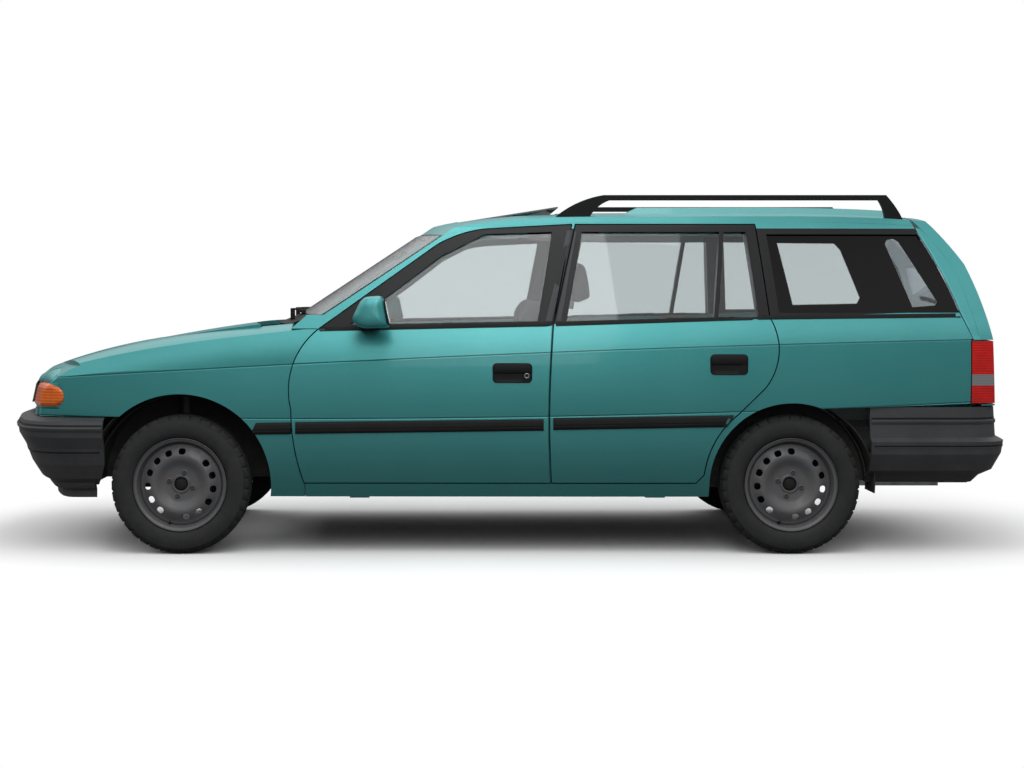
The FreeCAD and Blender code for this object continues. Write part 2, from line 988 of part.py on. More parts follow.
def wing_outer(spot):
    """Return the outer corners of a wing section, from the bottom up."""
    return [
        (spot.half - d.sill_tuck, d.sill_bottom),
        (spot.half - d.low_crease_inset, spot.low),
        (spot.half, spot.crease),
        spot.shoulder,
        spot.top,
    ]


WING_ARCS = ["rocker_radius", "door_radius", "wing_shoulder_radius", "wing_top_radius"]


def wing_sections(tag, make_corners, arcs):
    """Make one section sketch for each wing station."""
    return [outline(f"{tag}_section_{spot.name}", "front", make_corners(spot), arcs, spot.y)
            for spot in wing_stations()]


def wing_skin():
    """The wing's sheet with its inner edge a wall's thickness inside."""
    def corners(spot):
        inner = [
            (spot.top[0], spot.top[1] - d.wing_wall),
            (spot.shoulder[0] - d.wing_wall, spot.shoulder[1] - d.wing_wall),
            (spot.half - d.wing_wall, spot.crease),
            (spot.half - d.low_crease_inset - d.wing_wall, spot.low),
            (spot.half - d.sill_tuck - d.wing_wall, d.sill_bottom),
        ]
        return wing_outer(spot) + inner
    arcs = {step: getattr(d, name) for step, name in enumerate(WING_ARCS)}
    return lofted("wing_skin", wing_sections("wing_skin", corners, arcs))


def wing_core():
    """Everything between the outer faces of the two wings, up to a flat top."""
    arcs = {step: getattr(d, name) for step, name in enumerate(WING_ARCS)}
    arcs.update({8 - step: getattr(d, name) for step, name in enumerate(WING_ARCS)})
    return lofted("wing_core", wing_sections("wing_core", lambda spot: both_sides(wing_outer(spot)), arcs))


# Whole-width forms that the panels are cut from.

def roof_stations():
    """Give the place and edge height of the roof at six stations."""
    return [(d.roof_y_1, d.roof_edge_1), (d.roof_y_2, d.roof_edge_2), (d.roof_y_3, d.roof_edge_3),
            (d.roof_y_4, d.roof_edge_4), (d.roof_y_5, d.roof_edge_5), (d.roof_y_6, d.roof_edge_6)]


def roof_layer():
    """The crowned sheet of the roof, wider than the car."""
    sections = []
    for number, (place, edge) in enumerate(roof_stations(), start=1):
        corners = [(-d.roof_span, edge - d.roof_wall), (d.roof_span, edge - d.roof_wall),
                   (d.roof_span, edge), (-d.roof_span, edge)]
        arcs = {0: -d.roof_crown_radius, 2: d.roof_crown_radius}
        sections.append(outline(f"roof_section_{number}", "front", corners, arcs, place))
    return lofted("roof_layer", sections)


def above_roof(tag, rise):
    """Everything higher than a rise over the roof's outer face."""
    sections = []
    for number, (place, edge) in enumerate(roof_stations(), start=1):
        corners = [(-d.roof_span, edge + rise), (d.roof_span, edge + rise),
                   (d.roof_span, d.clear_height), (-d.roof_span, d.clear_height)]
        sections.append(outline(f"{tag}_section_{number}", "front", corners, {0: -d.roof_crown_radius}, place))
    return lofted(tag, sections)


def screen_line(drop, back):
    """Return the foot and head of the windscreen's line, moved back by a horizontal depth."""
    return [(d.screen_base_y + back, d.screen_base_z - drop), (d.screen_top_y + back, d.screen_top_z)]


def screen_glass_form():
    """The windscreen's curved layer, wider than the car."""
    foot, head = screen_line(ZERO, ZERO)
    inner_foot, inner_head = screen_line(ZERO, d.screen_depth)
    sketch = outline("windscreen_section", "side", [foot, inner_foot, inner_head, head])
    return revolved("windscreen_layer", sketch, d.screen_axis_y, d.sweep_angle)


def screen_space():
    """The space in front of the windscreen's inner face."""
    inner_foot, inner_head = screen_line(ZERO, d.screen_depth + d.seam)
    front = d.screen_base_y - d.screen_clearance
    corners = [(front, d.screen_base_z), inner_foot, inner_head, (front, d.screen_top_z)]
    sketch = outline("screen_space_section", "side", corners)
    return revolved("screen_space", sketch, d.screen_axis_y, d.sweep_angle)


def bonnet_profile(drop):
    """Return the bonnet's upper line from the nose to the scuttle, lowered by a thickness."""
    return [(d.bonnet_nose_y, d.bonnet_nose_z - drop), (d.bonnet_mid_y, d.bonnet_mid_z - drop),
            (d.bonnet_rear_y, d.bonnet_rear_z - drop)]


def bonnet_layer():
    """The bonnet's curved sheet, wider than the car."""
    upper = bonnet_profile(ZERO)
    lower = bonnet_profile(d.bonnet_wall)
    corners = lower + list(reversed(upper))
    arcs = {0: -d.bonnet_nose_radius, 1: -d.bonnet_rear_radius, 3: d.bonnet_rear_radius, 4: d.bonnet_nose_radius}
    sketch = outline("bonnet_section", "side", corners, arcs)
    return revolved("bonnet_layer", sketch, d.bonnet_axis_y, d.sweep_angle)


def nose_form(tag, inset):
    """Everything behind the nose's outer face, moved back by an inset."""
    corners = [(d.nose_low_y + inset, d.sill_bottom), (d.nose_back_y, d.sill_bottom),
               (d.nose_back_y, d.clear_height), (d.nose_high_y + inset, d.clear_height),
               (d.nose_high_y + inset, d.nose_high_z),
               (d.nose_edge_y + inset, d.nose_edge_z), (d.nose_low_y + inset, d.nose_low_z)]
    sketch = outline(f"{tag}_section", "side", corners, {4: d.nose_lip_radius})
    return revolved(tag, sketch, d.nose_axis_y, d.nose_sweep)


def tail_profile(depth):
    """Return the tail's line on the centreline from the bumper up, moved forward by a depth."""
    return [(d.tail_low_y - depth, d.tail_low_z), (d.tail_lamp_y - depth, d.tail_lamp_z),
            (d.tail_glass_y - depth, d.tail_glass_z), (d.tail_top_y - depth, d.tail_top_z)]


def tail_form(tag, near, far):
    """A layer of the tail between two depths, turned about an upright axis."""
    corners = [(d.tail_low_y - far, d.tail_low_z)] + tail_profile(near) + list(reversed(tail_profile(far)[1:]))
    arcs = {2: d.tail_waist_radius, 3: d.tail_window_radius, 5: -d.tail_window_radius, 6: -d.tail_waist_radius}
    sketch = outline(f"{tag}_section", "side", corners, arcs)
    return revolved(tag, sketch, d.tail_axis_y, d.sweep_angle)


def bonnet_line():
    """The bonnet's edge seen from above, which the wings follow."""
    corners = [
        (-d.bonnet_half_front, d.bonnet_corner_front_y), (ZERO - d.bonnet_half_front, d.plan_front_y),
        (d.bonnet_half_front, d.plan_front_y), (d.bonnet_half_front, d.bonnet_corner_front_y),
        (d.bonnet_half_rear, d.bonnet_corner_rear_y), (-d.bonnet_half_rear, d.bonnet_corner_rear_y),
    ]
    return outline("bonnet_line", "plan", corners, {4: -d.bonnet_back_radius})


# Lines of the doors, windows and shut lines seen from the side.

def front_door_line():
    """The front door's edge, counter-clockwise from its lower front corner."""
    corners = [
        (d.door_front_foot_y, d.door_bottom), (d.pillar_foot_y, d.door_bottom),
        (d.pillar_belt_y, d.pillar_belt_z), (d.pillar_top_y - d.frame_lean, d.door_top_rear),
        (d.door_bend_y, d.door_bend_z), (d.door_brow_y, d.door_brow_z),
        (d.door_front_belt_y, d.door_front_belt_z), (d.door_nose_y, d.door_nose_z),
    ]
    arcs = {1: -d.pillar_line_radius, 4: d.door_brow_radius, 6: d.door_nose_radius, 7: d.door_foot_radius}
    return outline("front_door_line", "side", corners, arcs)


def rear_door_line():
    """The rear door's edge, counter-clockwise from its lower front corner."""
    corners = [
        (d.pillar_foot_y + d.pillar_gap, d.door_bottom), (d.rear_door_foot_y, d.door_bottom),
        (d.rear_door_arch_y, d.rear_door_arch_z), (d.rear_door_hip_y, d.rear_door_hip_z),
        (d.rear_door_flank_y, d.rear_door_flank_z), (d.rear_door_back_y, d.rear_door_back_z),
        (d.rear_door_belt_y, d.rear_door_belt_z), (d.rear_door_top_y, d.door_top_rear),
        (d.pillar_top_y + d.pillar_gap, d.door_top_rear), (d.pillar_belt_y + d.pillar_gap, d.pillar_belt_z),
    ]
    arcs = {2: -d.rear_door_arch_radius, 4: d.rear_door_flank_radius, 5: d.rear_door_back_radius,
            9: d.pillar_line_radius}
    return outline("rear_door_line", "side", corners, arcs)


def widened(name, line, gap):
    """Offset a closed line outwards by a gap."""
    wide = add("Part::Offset2D", name)
    wide.Source = line
    wide.Join = "Arc"
    bind(wide, Value=gap)
    return wide


def front_window_line():
    """The edge of the front door's window."""
    corners = [
        (d.front_window_front_y, d.front_window_front_z), (d.front_window_rear_y, d.front_window_rear_z),
        (d.front_window_head_y, d.window_head), (d.front_window_bend_y, d.window_head - d.window_bend_drop),
        (d.front_window_brow_y, d.front_window_brow_z),
    ]
    return outline("front_window_line", "side", corners)


def rear_window_line():
    """The edge of the rear door's sliding window."""
    corners = [
        (d.rear_window_front_y, d.front_window_rear_z), (d.divider_foot_y - d.divider_half, d.rear_window_sill),
        (d.divider_head_y - d.divider_half, d.window_head), (d.rear_window_head_y, d.window_head),
    ]
    return outline("rear_window_line", "side", corners)


def rear_light_line():
    """The edge of the small fixed window in the rear door."""
    corners = [
        (d.divider_foot_y + d.divider_half, d.rear_window_sill), (d.rear_light_foot_y, d.rear_window_sill),
        (d.rear_light_head_y, d.window_head), (d.divider_head_y + d.divider_half, d.window_head),
    ]
    return outline("rear_light_line", "side", corners)


def quarter_window_line():
    """The edge of the rear side window."""
    corners = [
        (d.quarter_front_y, d.quarter_sill), (d.quarter_rear_y, d.quarter_sill),
        (d.quarter_head_rear_y, d.quarter_head), (d.quarter_head_front_y, d.quarter_head),
    ]
    return outline("quarter_window_line", "side", corners, {1: d.quarter_rear_radius})


def side_frame_line():
    """The outer edge of the body side frame."""
    corners = [
        (d.sill_front_y, d.sill_bottom), (d.sill_rear_y, d.sill_bottom),
        (d.rear_axle_y - d.rear_arch_radius, d.wheel_z), (d.rear_arch_top_y, d.rear_arch_top_z),
        (d.quarter_low_y, d.quarter_low_z), (d.quarter_low_y, d.tail_shut_low_z),
        (d.tail_shut_low_y - d.shut_gap, d.tail_shut_low_z),
        (d.tail_shut_top_y - d.shut_gap, d.tail_shut_top_z), (d.frame_brow_y, d.tail_shut_top_z),
        (d.post_front_y, d.post_foot_z), (d.lining_front_y, d.post_foot_z), (d.lining_front_y, d.sill_step_z),
        (d.sill_front_y, d.sill_step_z),
    ]
    return outline("side_frame_line", "side", corners, {2: -d.rear_arch_radius})


def wing_line():
    """The edge of the front wing seen from the side, before the arch is cut."""
    corners = [
        (d.wing_tip_y, d.wing_front_low_z), (d.wing_arch_y, d.wing_front_low_z),
        (d.wing_arch_y, d.sill_bottom), (d.sill_front_y - d.panel_gap, d.sill_bottom),
        (d.sill_front_y - d.panel_gap, d.sill_step_z), (d.post_rear_y, d.sill_step_z),
        (d.post_rear_y, d.post_foot_z - d.panel_gap), (d.post_front_y, d.post_foot_z - d.panel_gap),
        (d.post_front_y, d.clear_height), (d.wing_tip_y, d.clear_height),
    ]
    return outline("wing_line", "side", corners)


def side_prism(name, line):
    """Extrude a side line across the left half of the car."""
    return prism(name, line, "side", d.half_reach)


def fork(name, source):
    """Name a left-hand piece and its mirror image."""
    node(f"{name}_left", source)
    node(f"{name}_right", mirrored(f"{name}_right", source))


def post_skin():
    """The layer under the wing's rear end, which the hinge post is cut from."""
    def corners(spot):
        outer = [(across - d.post_inset, up) for across, up in outer_side(spot)]
        return outer + inner_side(spot, d.moving_gap + d.pillar_depth)
    return lofted("post_skin", skin_sections("post_skin", corners, side_arcs))


def frame_skin():
    """The body side as thick as the doors and the pillars behind them."""
    def corners(spot):
        return outer_side(spot) + inner_side(spot, d.moving_gap + d.pillar_depth)
    return lofted("frame_skin", skin_sections("frame_skin", corners, side_arcs))


LINES = SimpleNamespace()
FORMS = SimpleNamespace()


def make_lines():
    """Draw the lines that several panels share."""
    LINES.front_door = front_door_line()
    LINES.rear_door = rear_door_line()
    LINES.frame = side_frame_line()
    LINES.bonnet = bonnet_line()
    LINES.quarter_window = quarter_window_line()


def make_forms():
    """Make the whole-width forms that several panels share."""
    FORMS.side_skin = side_skin()
    FORMS.outer_core = outer_core()
    FORMS.inner_core = inner_core()
    FORMS.wing_core = wing_core()
    FORMS.under_roof = above_roof("roof_and_above", -d.roof_wall - d.seam)
    FORMS.above_roof = above_roof("above_roof", d.seam)
    FORMS.screen_space = screen_space()
    FORMS.front_door = side_prism("front_door_form", LINES.front_door)
    FORMS.rear_door = side_prism("rear_door_form", LINES.rear_door)
    FORMS.front_opening = side_prism("front_opening", widened("front_opening_line", LINES.front_door, d.shut_gap))
    FORMS.rear_opening = side_prism("rear_opening", widened("rear_opening_line", LINES.rear_door, d.shut_gap))
    FORMS.quarter_window = side_prism("quarter_window_form", LINES.quarter_window)
    FORMS.nose = nose_form("nose", ZERO)
    FORMS.rear_wheel_space = rod("rear_wheel_space", (d.wheelhouse_inner, d.rear_axle_y, d.wheel_z), "x",
                                 d.half_reach - d.wheelhouse_inner, d.rear_arch_radius)
    FORMS.front_wheel_space = rod("front_wheel_space", (d.front_house_inner, d.front_axle_y, d.wheel_z), "x",
                                  d.half_reach - d.front_house_inner, d.front_arch_radius)


def side_frames():
    """Sill, hinge post, middle pillar, roof edge and rear quarter as one pressing each side."""
    region = side_prism("frame_region", LINES.frame)
    outer = cut("frame_outer", common("frame_slab", frame_skin(), region), FORMS.front_opening, FORMS.rear_opening)
    front_hole = side_prism("front_hole", widened("front_hole_line", LINES.front_door, -d.flange_width))
    rear_hole = side_prism("rear_hole", widened("rear_hole_line", LINES.rear_door, -d.flange_width))
    pillar = pillar_skin()
    inner = cut("frame_inner", common("frame_lining", pillar, region), front_hole, rear_hole)
    post_form = extruded("hinge_post_form", "side", ZERO, d.half_reach, rectangle(
        d.hinge_post_y, d.sill_bottom, d.hinge_post_rear_y, d.hinge_post_top))
    post = cut("hinge_post", common("hinge_post_blank", post_skin(), post_form), FORMS.front_opening)
    post_flange = cut("hinge_flange", common("hinge_flange_blank", pillar, post_form), front_hole)
    pads = [box(f"jack_pad_{end}", (d.jack_inner_x, middle - d.jack_half, d.jack_low),
                (d.jack_outer_x, middle + d.jack_half, d.jack_high))
            for end, middle in (("front", d.jack_front_y), ("rear", d.jack_rear_y))]
    whole = fused("frame_whole", outer, inner, post, post_flange, *pads)
    frame = cut("side_frame_left", whole, FORMS.quarter_window, FORMS.screen_space, FORMS.under_roof,
                FORMS.rear_wheel_space)
    fork("side_frame", frame)


def glass_layer():
    """The layer that every side window is cut from."""
    return glass_skin("window_layer", d.glass_inset, d.glass_inset + d.glass_wall)


def doors(glass):
    """Four doors with their window frames, and the glass in each."""
    front_window = side_prism("front_window_form", front_window_line())
    front = cut("front_door_left", common("front_door_blank", FORMS.side_skin, FORMS.front_door), front_window)
    fork("front_door", front)
    fork("front_door_glass", common("front_door_glass_left", glass, front_window))
    rear_window = side_prism("rear_window_form", rear_window_line())
    rear_light = side_prism("rear_light_form", rear_light_line())
    rear = cut("rear_door_left", common("rear_door_blank", FORMS.side_skin, FORMS.rear_door),
               rear_window, rear_light)
    fork("rear_door", rear)
    panes = fused("rear_door_panes", rear_window, rear_light)
    fork("rear_door_glass", common("rear_door_glass_left", glass, panes))
    fork("quarter_window", common("quarter_window_left", glass, FORMS.quarter_window))


def roof():
    """The crowned roof with its raised rear part and the sunroof's hole."""
    sheet_part = common("roof_sheet", roof_layer(), FORMS.outer_core)
    foot = outline("roof_rise_foot", "plan", rectangle(
        -d.rise_half, d.rise_front_y, d.rise_half, d.rise_rear_y), at=d.rise_base_z)
    crest = outline("roof_rise_crest", "plan", rectangle(
        d.rise_slope - d.rise_half, d.rise_front_y + d.rise_slope,
        d.rise_half - d.rise_slope, d.rise_rear_y - d.rise_slope), at=d.rise_crest_z)
    rise = lofted("roof_rise_block", [foot, crest])
    rise.Ruled = True
    sections = []
    for number, (place, edge) in enumerate(roof_stations(), start=1):
        corners = [(-d.roof_span, edge - d.roof_wall), (d.roof_span, edge - d.roof_wall),
                   (d.roof_span, edge + d.rise_height), (-d.roof_span, edge + d.rise_height)]
        arcs = {0: -d.roof_crown_radius, 2: d.roof_crown_radius}
        sections.append(outline(f"roof_rise_section_{number}", "front", corners, arcs, place))
    raised = common("roof_rise", lofted("roof_rise_layer", sections), rise)
    hole = extruded("sunroof_hole", "plan", d.rise_base_z, d.clear_height, rectangle(
        -d.sunroof_half - d.panel_gap, d.sunroof_front_y - d.panel_gap,
        d.sunroof_half + d.panel_gap, d.sunroof_rear_y + d.panel_gap))
    tail = extruded("roof_tail_cut", "side", -d.half_reach, d.half_reach, [
        (d.tail_shut_low_y, d.tail_shut_low_z), (d.roof_y_6, d.tail_shut_low_z), (d.roof_y_6, d.clear_height),
        (d.tail_shut_top_y - d.shut_gap, d.clear_height), (d.tail_shut_top_y - d.shut_gap, d.tail_shut_top_z)])
    node("roof_panel", cut("roof_panel", fused("roof_blank", sheet_part, raised), hole, FORMS.screen_space, tail))
    panel = extruded("sunroof_panel", "side", -d.sunroof_half, d.sunroof_half, [
        (d.sunroof_front_y, d.sunroof_front_z), (d.sunroof_rear_y, d.sunroof_rear_z),
        (d.sunroof_rear_y, d.sunroof_rear_z + d.sunroof_wall),
        (d.sunroof_front_y, d.sunroof_front_z + d.sunroof_wall)])
    node("sunroof_panel", panel)


def roof_rails():
    """A raised rail on each side of the roof, with a foot at each end."""
    corners = [
        (d.rail_front_y, d.rail_foot_z), (d.rail_front_inner_y, d.rail_foot_z),
        (d.rail_front_bend_y, d.rail_under_z), (d.rail_rear_bend_y, d.rail_under_z),
        (d.rail_rear_inner_y, d.rail_foot_z), (d.rail_rear_y, d.rail_foot_z),
        (d.rail_rear_top_y, d.rail_top_z), (d.rail_front_top_y, d.rail_top_z),
    ]
    arcs = {1: -d.rail_inner_radius, 3: -d.rail_inner_radius, 5: d.rail_end_radius, 7: d.rail_end_radius}
    rail = extruded("rail_blank", "side", d.rail_x - d.rail_half_width, d.rail_x + d.rail_half_width, corners, arcs)
    rail = common("rail_left", rail, FORMS.above_roof)
    pair = fused("roof_rails", rail, mirrored("rail_right", rail))
    node("roof_rails", pair)




def front_end():
    """Wings, bonnet, nose panel, grille, lamps, scuttle and windscreen."""
    bonnet_gap = prism("bonnet_gap_form", widened("bonnet_gap_line", LINES.bonnet, d.shut_gap), "plan", d.clear_height)
    region = side_prism("wing_region", wing_line())
    lamp_space = extruded("lamp_space", "side", ZERO, d.half_reach, rectangle(
        d.plan_front_y, d.lamp_bottom - d.panel_gap, d.indicator_rear_y + d.panel_gap, d.lamp_top + d.panel_gap))
    wing = cut("front_wing_left", common("wing_blank", wing_skin(), region, FORMS.nose), FORMS.front_opening,
               FORMS.front_wheel_space, bonnet_gap, lamp_space)
    fork("front_wing", wing)

    bonnet_form = prism("bonnet_form", LINES.bonnet, "plan", d.clear_height)
    node("bonnet", common("bonnet", bonnet_layer(), bonnet_form, FORMS.nose))

    front_mass = common("front_mass", FORMS.nose, FORMS.wing_core)
    lamp = common("head_lamp", front_mass, box("head_lamp_box",
                  (d.grille_half + d.panel_gap, d.plan_front_y, d.lamp_bottom),
                  (d.indicator_x - d.seam, d.lamp_back_y, d.lamp_top)))
    node("head_lamps", fused("head_lamps", lamp, mirrored("head_lamp_right", lamp)))
    blinker = common("indicator", front_mass, box("indicator_box",
                     (d.indicator_x, d.plan_front_y, d.lamp_bottom),
                     (d.half_reach, d.indicator_rear_y, d.lamp_top)))
    node("indicators", fused("indicators", blinker, mirrored("indicator_right", blinker)))

    grille_blank = common("grille_blank", FORMS.nose, box("grille_box",
                          (-d.grille_half, d.plan_front_y, d.lamp_bottom),
                          (d.grille_half, d.grille_back_y, d.lamp_top)))
    node("grille", cut("grille", grille_blank, grille_slots()))
    node("front_panel", front_panel(front_mass))
    node("scuttle_panel", scuttle_panel())
    node("windscreen", cut("windscreen", common("windscreen_blank", screen_glass_form(), FORMS.outer_core),
                           FORMS.under_roof))


def grille_slots():
    """The openings between the grille's bars, repeated up its height."""
    pitch = d.grille_slot_height + d.grille_bar
    slots = []
    for row in range(int(d.grille_rows.value)):
        low = d.lamp_bottom + d.grille_border + row * pitch
        slots.append(box(f"grille_slot_{row + 1}",
                         (-(d.grille_half - d.grille_border), d.plan_front_y, low),
                         (d.grille_half - d.grille_border, d.grille_floor_y, low + d.grille_slot_height)))
    return fused("grille_slots", *slots)


def front_panel(front_mass):
    """The plate behind the grille that carries the lamps, with the strip above the bumper."""
    plate = box("front_panel_plate", (-d.front_panel_half, d.lamp_back_y + d.seam, d.front_panel_low),
                (d.front_panel_half, d.lamp_back_y + d.front_panel_wall, d.front_panel_top))
    hole = box("radiator_hole", (-d.radiator_half, d.plan_front_y, d.radiator_low),
               (d.radiator_half, d.nose_back_y, d.radiator_top))
    strip = common("nose_strip", front_mass, box("nose_strip_box",
                   (-d.strip_half, d.plan_front_y, d.wing_front_low_z),
                   (d.strip_half, d.lamp_back_y + d.front_panel_wall, d.lamp_bottom - d.panel_gap)))
    return fused("front_panel", cut("front_panel_frame", plate, hole), strip)


def scuttle_panel():
    """The black panel between the bonnet and the windscreen."""
    corners = [(d.bonnet_rear_y + d.scuttle_gap, d.bonnet_rear_z - d.scuttle_drop - d.scuttle_wall),
               (d.screen_base_y, d.screen_base_z - d.scuttle_wall),
               (d.screen_base_y, d.screen_base_z),
               (d.bonnet_rear_y + d.scuttle_gap, d.bonnet_rear_z - d.scuttle_drop)]
    layer = revolved("scuttle_layer", outline("scuttle_section", "side", corners), d.screen_axis_y, d.sweep_angle)
    return common("scuttle_panel", layer, box("scuttle_box", (-d.scuttle_panel_half, d.bonnet_corner_front_y, ZERO),
                                              (d.scuttle_panel_half, d.middle_y, d.clear_height)))


def bumper_path(name, tip_y, nose_radius, corner_radius, half, end_y, sign):
    """Sketch a bumper's path in plan: a bowed middle, two round corners and two straight ends."""
    sketch = new_sketch(name, "plan")
    centre = as_size(tip_y) + sign * nose_radius
    corner_x = half.value - corner_radius.value
    span = nose_radius.value - corner_radius.value
    depth = math.sqrt(span * span - corner_x * corner_x)
    corner_y = centre.value - sign * depth
    lean = math.atan2(-sign * depth, corner_x)
    upright = Vector(0, 0, 1)
    quarter = -math.pi / 2 * sign
    straight = sketch.addGeometry(Part.LineSegment(
        Vector(half.value, end_y.value, 0), Vector(half.value, corner_y, 0)), False)
    bend_turn = (lean, 0.0) if sign > 0 else (0.0, lean)
    bend = sketch.addGeometry(Part.ArcOfCircle(
        Part.Circle(Vector(corner_x, corner_y, 0), upright, corner_radius.value), *bend_turn), False)
    bow_turn = (-math.pi - lean, lean) if sign > 0 else (lean, math.pi - lean)
    bow = sketch.addGeometry(Part.ArcOfCircle(
        Part.Circle(Vector(0, centre.value, 0), upright, nose_radius.value), *bow_turn), False)
    far_turn = (math.pi, math.pi - lean) if sign > 0 else (math.pi - lean, math.pi)
    far_bend = sketch.addGeometry(Part.ArcOfCircle(
        Part.Circle(Vector(-corner_x, corner_y, 0), upright, corner_radius.value), *far_turn), False)
    far_straight = sketch.addGeometry(Part.LineSegment(
        Vector(-half.value, corner_y, 0), Vector(-half.value, end_y.value, 0)), False)
    near_end, far_end = (1, 2) if sign > 0 else (2, 1)
    sketch.addConstraint([
        Sketcher.Constraint("Tangent", straight, 2, bend, far_end),
        Sketcher.Constraint("Tangent", bend, near_end, bow, far_end),
        Sketcher.Constraint("Tangent", bow, near_end, far_bend, far_end),
        Sketcher.Constraint("Tangent", far_bend, near_end, far_straight, 1),
        Sketcher.Constraint("Equal", bend, far_bend),
        Sketcher.Constraint("Vertical", straight),
        Sketcher.Constraint("Vertical", far_straight),
    ])
    hold(sketch, bow, 3, "X", ZERO)
    hold(sketch, bow, 3, "Y", centre)
    hold(sketch, straight, 1, "X", half)
    hold(sketch, straight, 1, "Y", end_y)
    hold(sketch, far_straight, 2, "X", -half)
    hold(sketch, far_straight, 2, "Y", end_y)
    for arc, radius in ((bow, nose_radius), (bend, corner_radius)):
        bound = sketch.addConstraint(Sketcher.Constraint("Radius", arc, radius.value))
        sketch.setExpression(f"Constraints[{bound}]", radius.text)
    return sketch


def bumper(name, path, half, end_y, outer, beam):
    """Sweep a bumper's section along its path and join the beam that carries it, free of the steered wheels."""
    corners = [(half + out, up) for out, up in outer]
    corners += [(half + out - d.bumper_wall, up) for out, up in reversed(outer)]
    section = outline(f"{name}_section", "front", corners, at=end_y)
    shell = add("Part::Sweep", f"{name}_shell")
    shell.Sections = [section]
    shell.Spine = (path, [f"Edge{number + 1}" for number in range(5)])
    shell.Solid = True
    shell.Frenet = False
    sweep = rod(f"{name}_sweep", (d.kingpin_x, d.front_axle_y, ZERO), "z", d.clear_height, d.steer_sweep)
    node(name, cut(name, fused(f"{name}_whole", shell, beam), sweep, mirrored(f"{name}_sweep_right", sweep)))


def front_bumper():
    """The dark front bumper with its stepped, undercut section."""
    outer = [(-d.front_bumper_lip, d.front_bumper_top), (-d.bumper_brow, d.bumper_brow_z),
             (ZERO, d.bumper_nose_z), (-d.bumper_chest, d.bumper_chest_z), (-d.bumper_step, d.bumper_step_z),
             (-d.bumper_apron, d.bumper_apron_z), (-d.bumper_chin, d.bumper_chin_z),
             (-d.bumper_foot, d.bumper_foot_z)]
    path = bumper_path("front_bumper_path", d.bumper_front_y, d.front_bumper_bow, d.front_bumper_corner,
                       d.bumper_half, d.front_bumper_end_y, 1)
    edge = d.bumper_front_y + d.front_beam_depth
    beam = extruded("front_beam", "plan", d.front_beam_low, d.front_beam_high, rectangle(
        -d.beam_half, edge, d.beam_half, d.lamp_back_y), {0: d.beam_bow})
    bumper("front_bumper", path, d.bumper_half, d.front_bumper_end_y, list(reversed(outer)), beam)


def rear_bumper():
    """The dark rear bumper with its projecting step."""
    outer = [(-d.rear_bumper_ledge, d.rear_bumper_top), (-d.rear_bumper_face, d.rear_bumper_break_z),
             (ZERO, d.rear_step_z), (-d.rear_step_round, d.rear_step_low_z),
             (-d.rear_apron, d.rear_apron_z), (-d.rear_chin, d.rear_chin_z), (-d.rear_foot, d.rear_foot_z)]
    path = bumper_path("rear_bumper_path", d.bumper_rear_y, d.rear_bumper_bow, d.rear_bumper_corner,
                       d.bumper_half, d.rear_bumper_end_y, -1)
    edge = d.bumper_rear_y - d.rear_beam_depth
    beam = extruded("rear_beam", "plan", d.rear_beam_low, d.rear_beam_high, rectangle(
        -d.beam_half, d.rear_panel_y + d.rear_panel_wall + d.seam, d.beam_half, edge), {2: d.beam_bow})
    bumper("rear_bumper", path, d.bumper_half, d.rear_bumper_end_y, outer, beam)


def tail_end():
    """Tailgate, its glass, the tail lamps and the panel under them."""
    region = extruded("tailgate_region", "side", -d.half_reach, d.half_reach, [
        (d.tail_shut_low_y, d.tail_low_z), (d.tail_far_y, d.tail_low_z), (d.tail_far_y, d.tail_shut_top_z),
        (d.tail_shut_top_y, d.tail_shut_top_z), (d.tail_shut_low_y, d.tail_shut_low_z)])
    blank = common("tailgate_blank", tail_form("tailgate_layer", ZERO, d.tailgate_depth), FORMS.outer_core, region)
    window = extruded("tail_window", "front", d.rear_axle_y, d.tail_far_y, [
        (-d.tail_window_low_half, d.tail_window_low), (d.tail_window_low_half, d.tail_window_low),
        (d.tail_window_high_half, d.tail_window_high), (-d.tail_window_high_half, d.tail_window_high)])
    lamp_low = (d.tail_lamp_x, d.tail_lamp_front_y, d.tail_lamp_low)
    lamp_high = (d.half_reach, d.tail_far_y, d.tail_lamp_high)
    space = box("tail_lamp_space", [part - d.shut_gap for part in map(as_size, lamp_low)],
                [part + d.shut_gap for part in map(as_size, lamp_high)])
    node("tailgate", cut("tailgate", blank, window, space, mirrored("tail_lamp_space_right", space),
                         FORMS.above_roof))
    node("tailgate_glass", common("tailgate_glass", tail_form(
        "tail_glass_layer", d.glass_inset, d.glass_inset + d.tail_glass_wall), window))
    lamp = common("tail_lamp", tail_form("tail_mass", ZERO, d.tail_mass_depth), FORMS.outer_core,
                  box("tail_lamp_box", lamp_low, lamp_high))
    node("tail_lamps", fused("tail_lamps", lamp, mirrored("tail_lamp_right", lamp)))
    node("rear_panel", box("rear_panel", (-d.rear_panel_half, d.rear_panel_y, d.rear_panel_low),
                           (d.rear_panel_half, d.rear_panel_y + d.rear_panel_wall, d.rear_panel_top)))


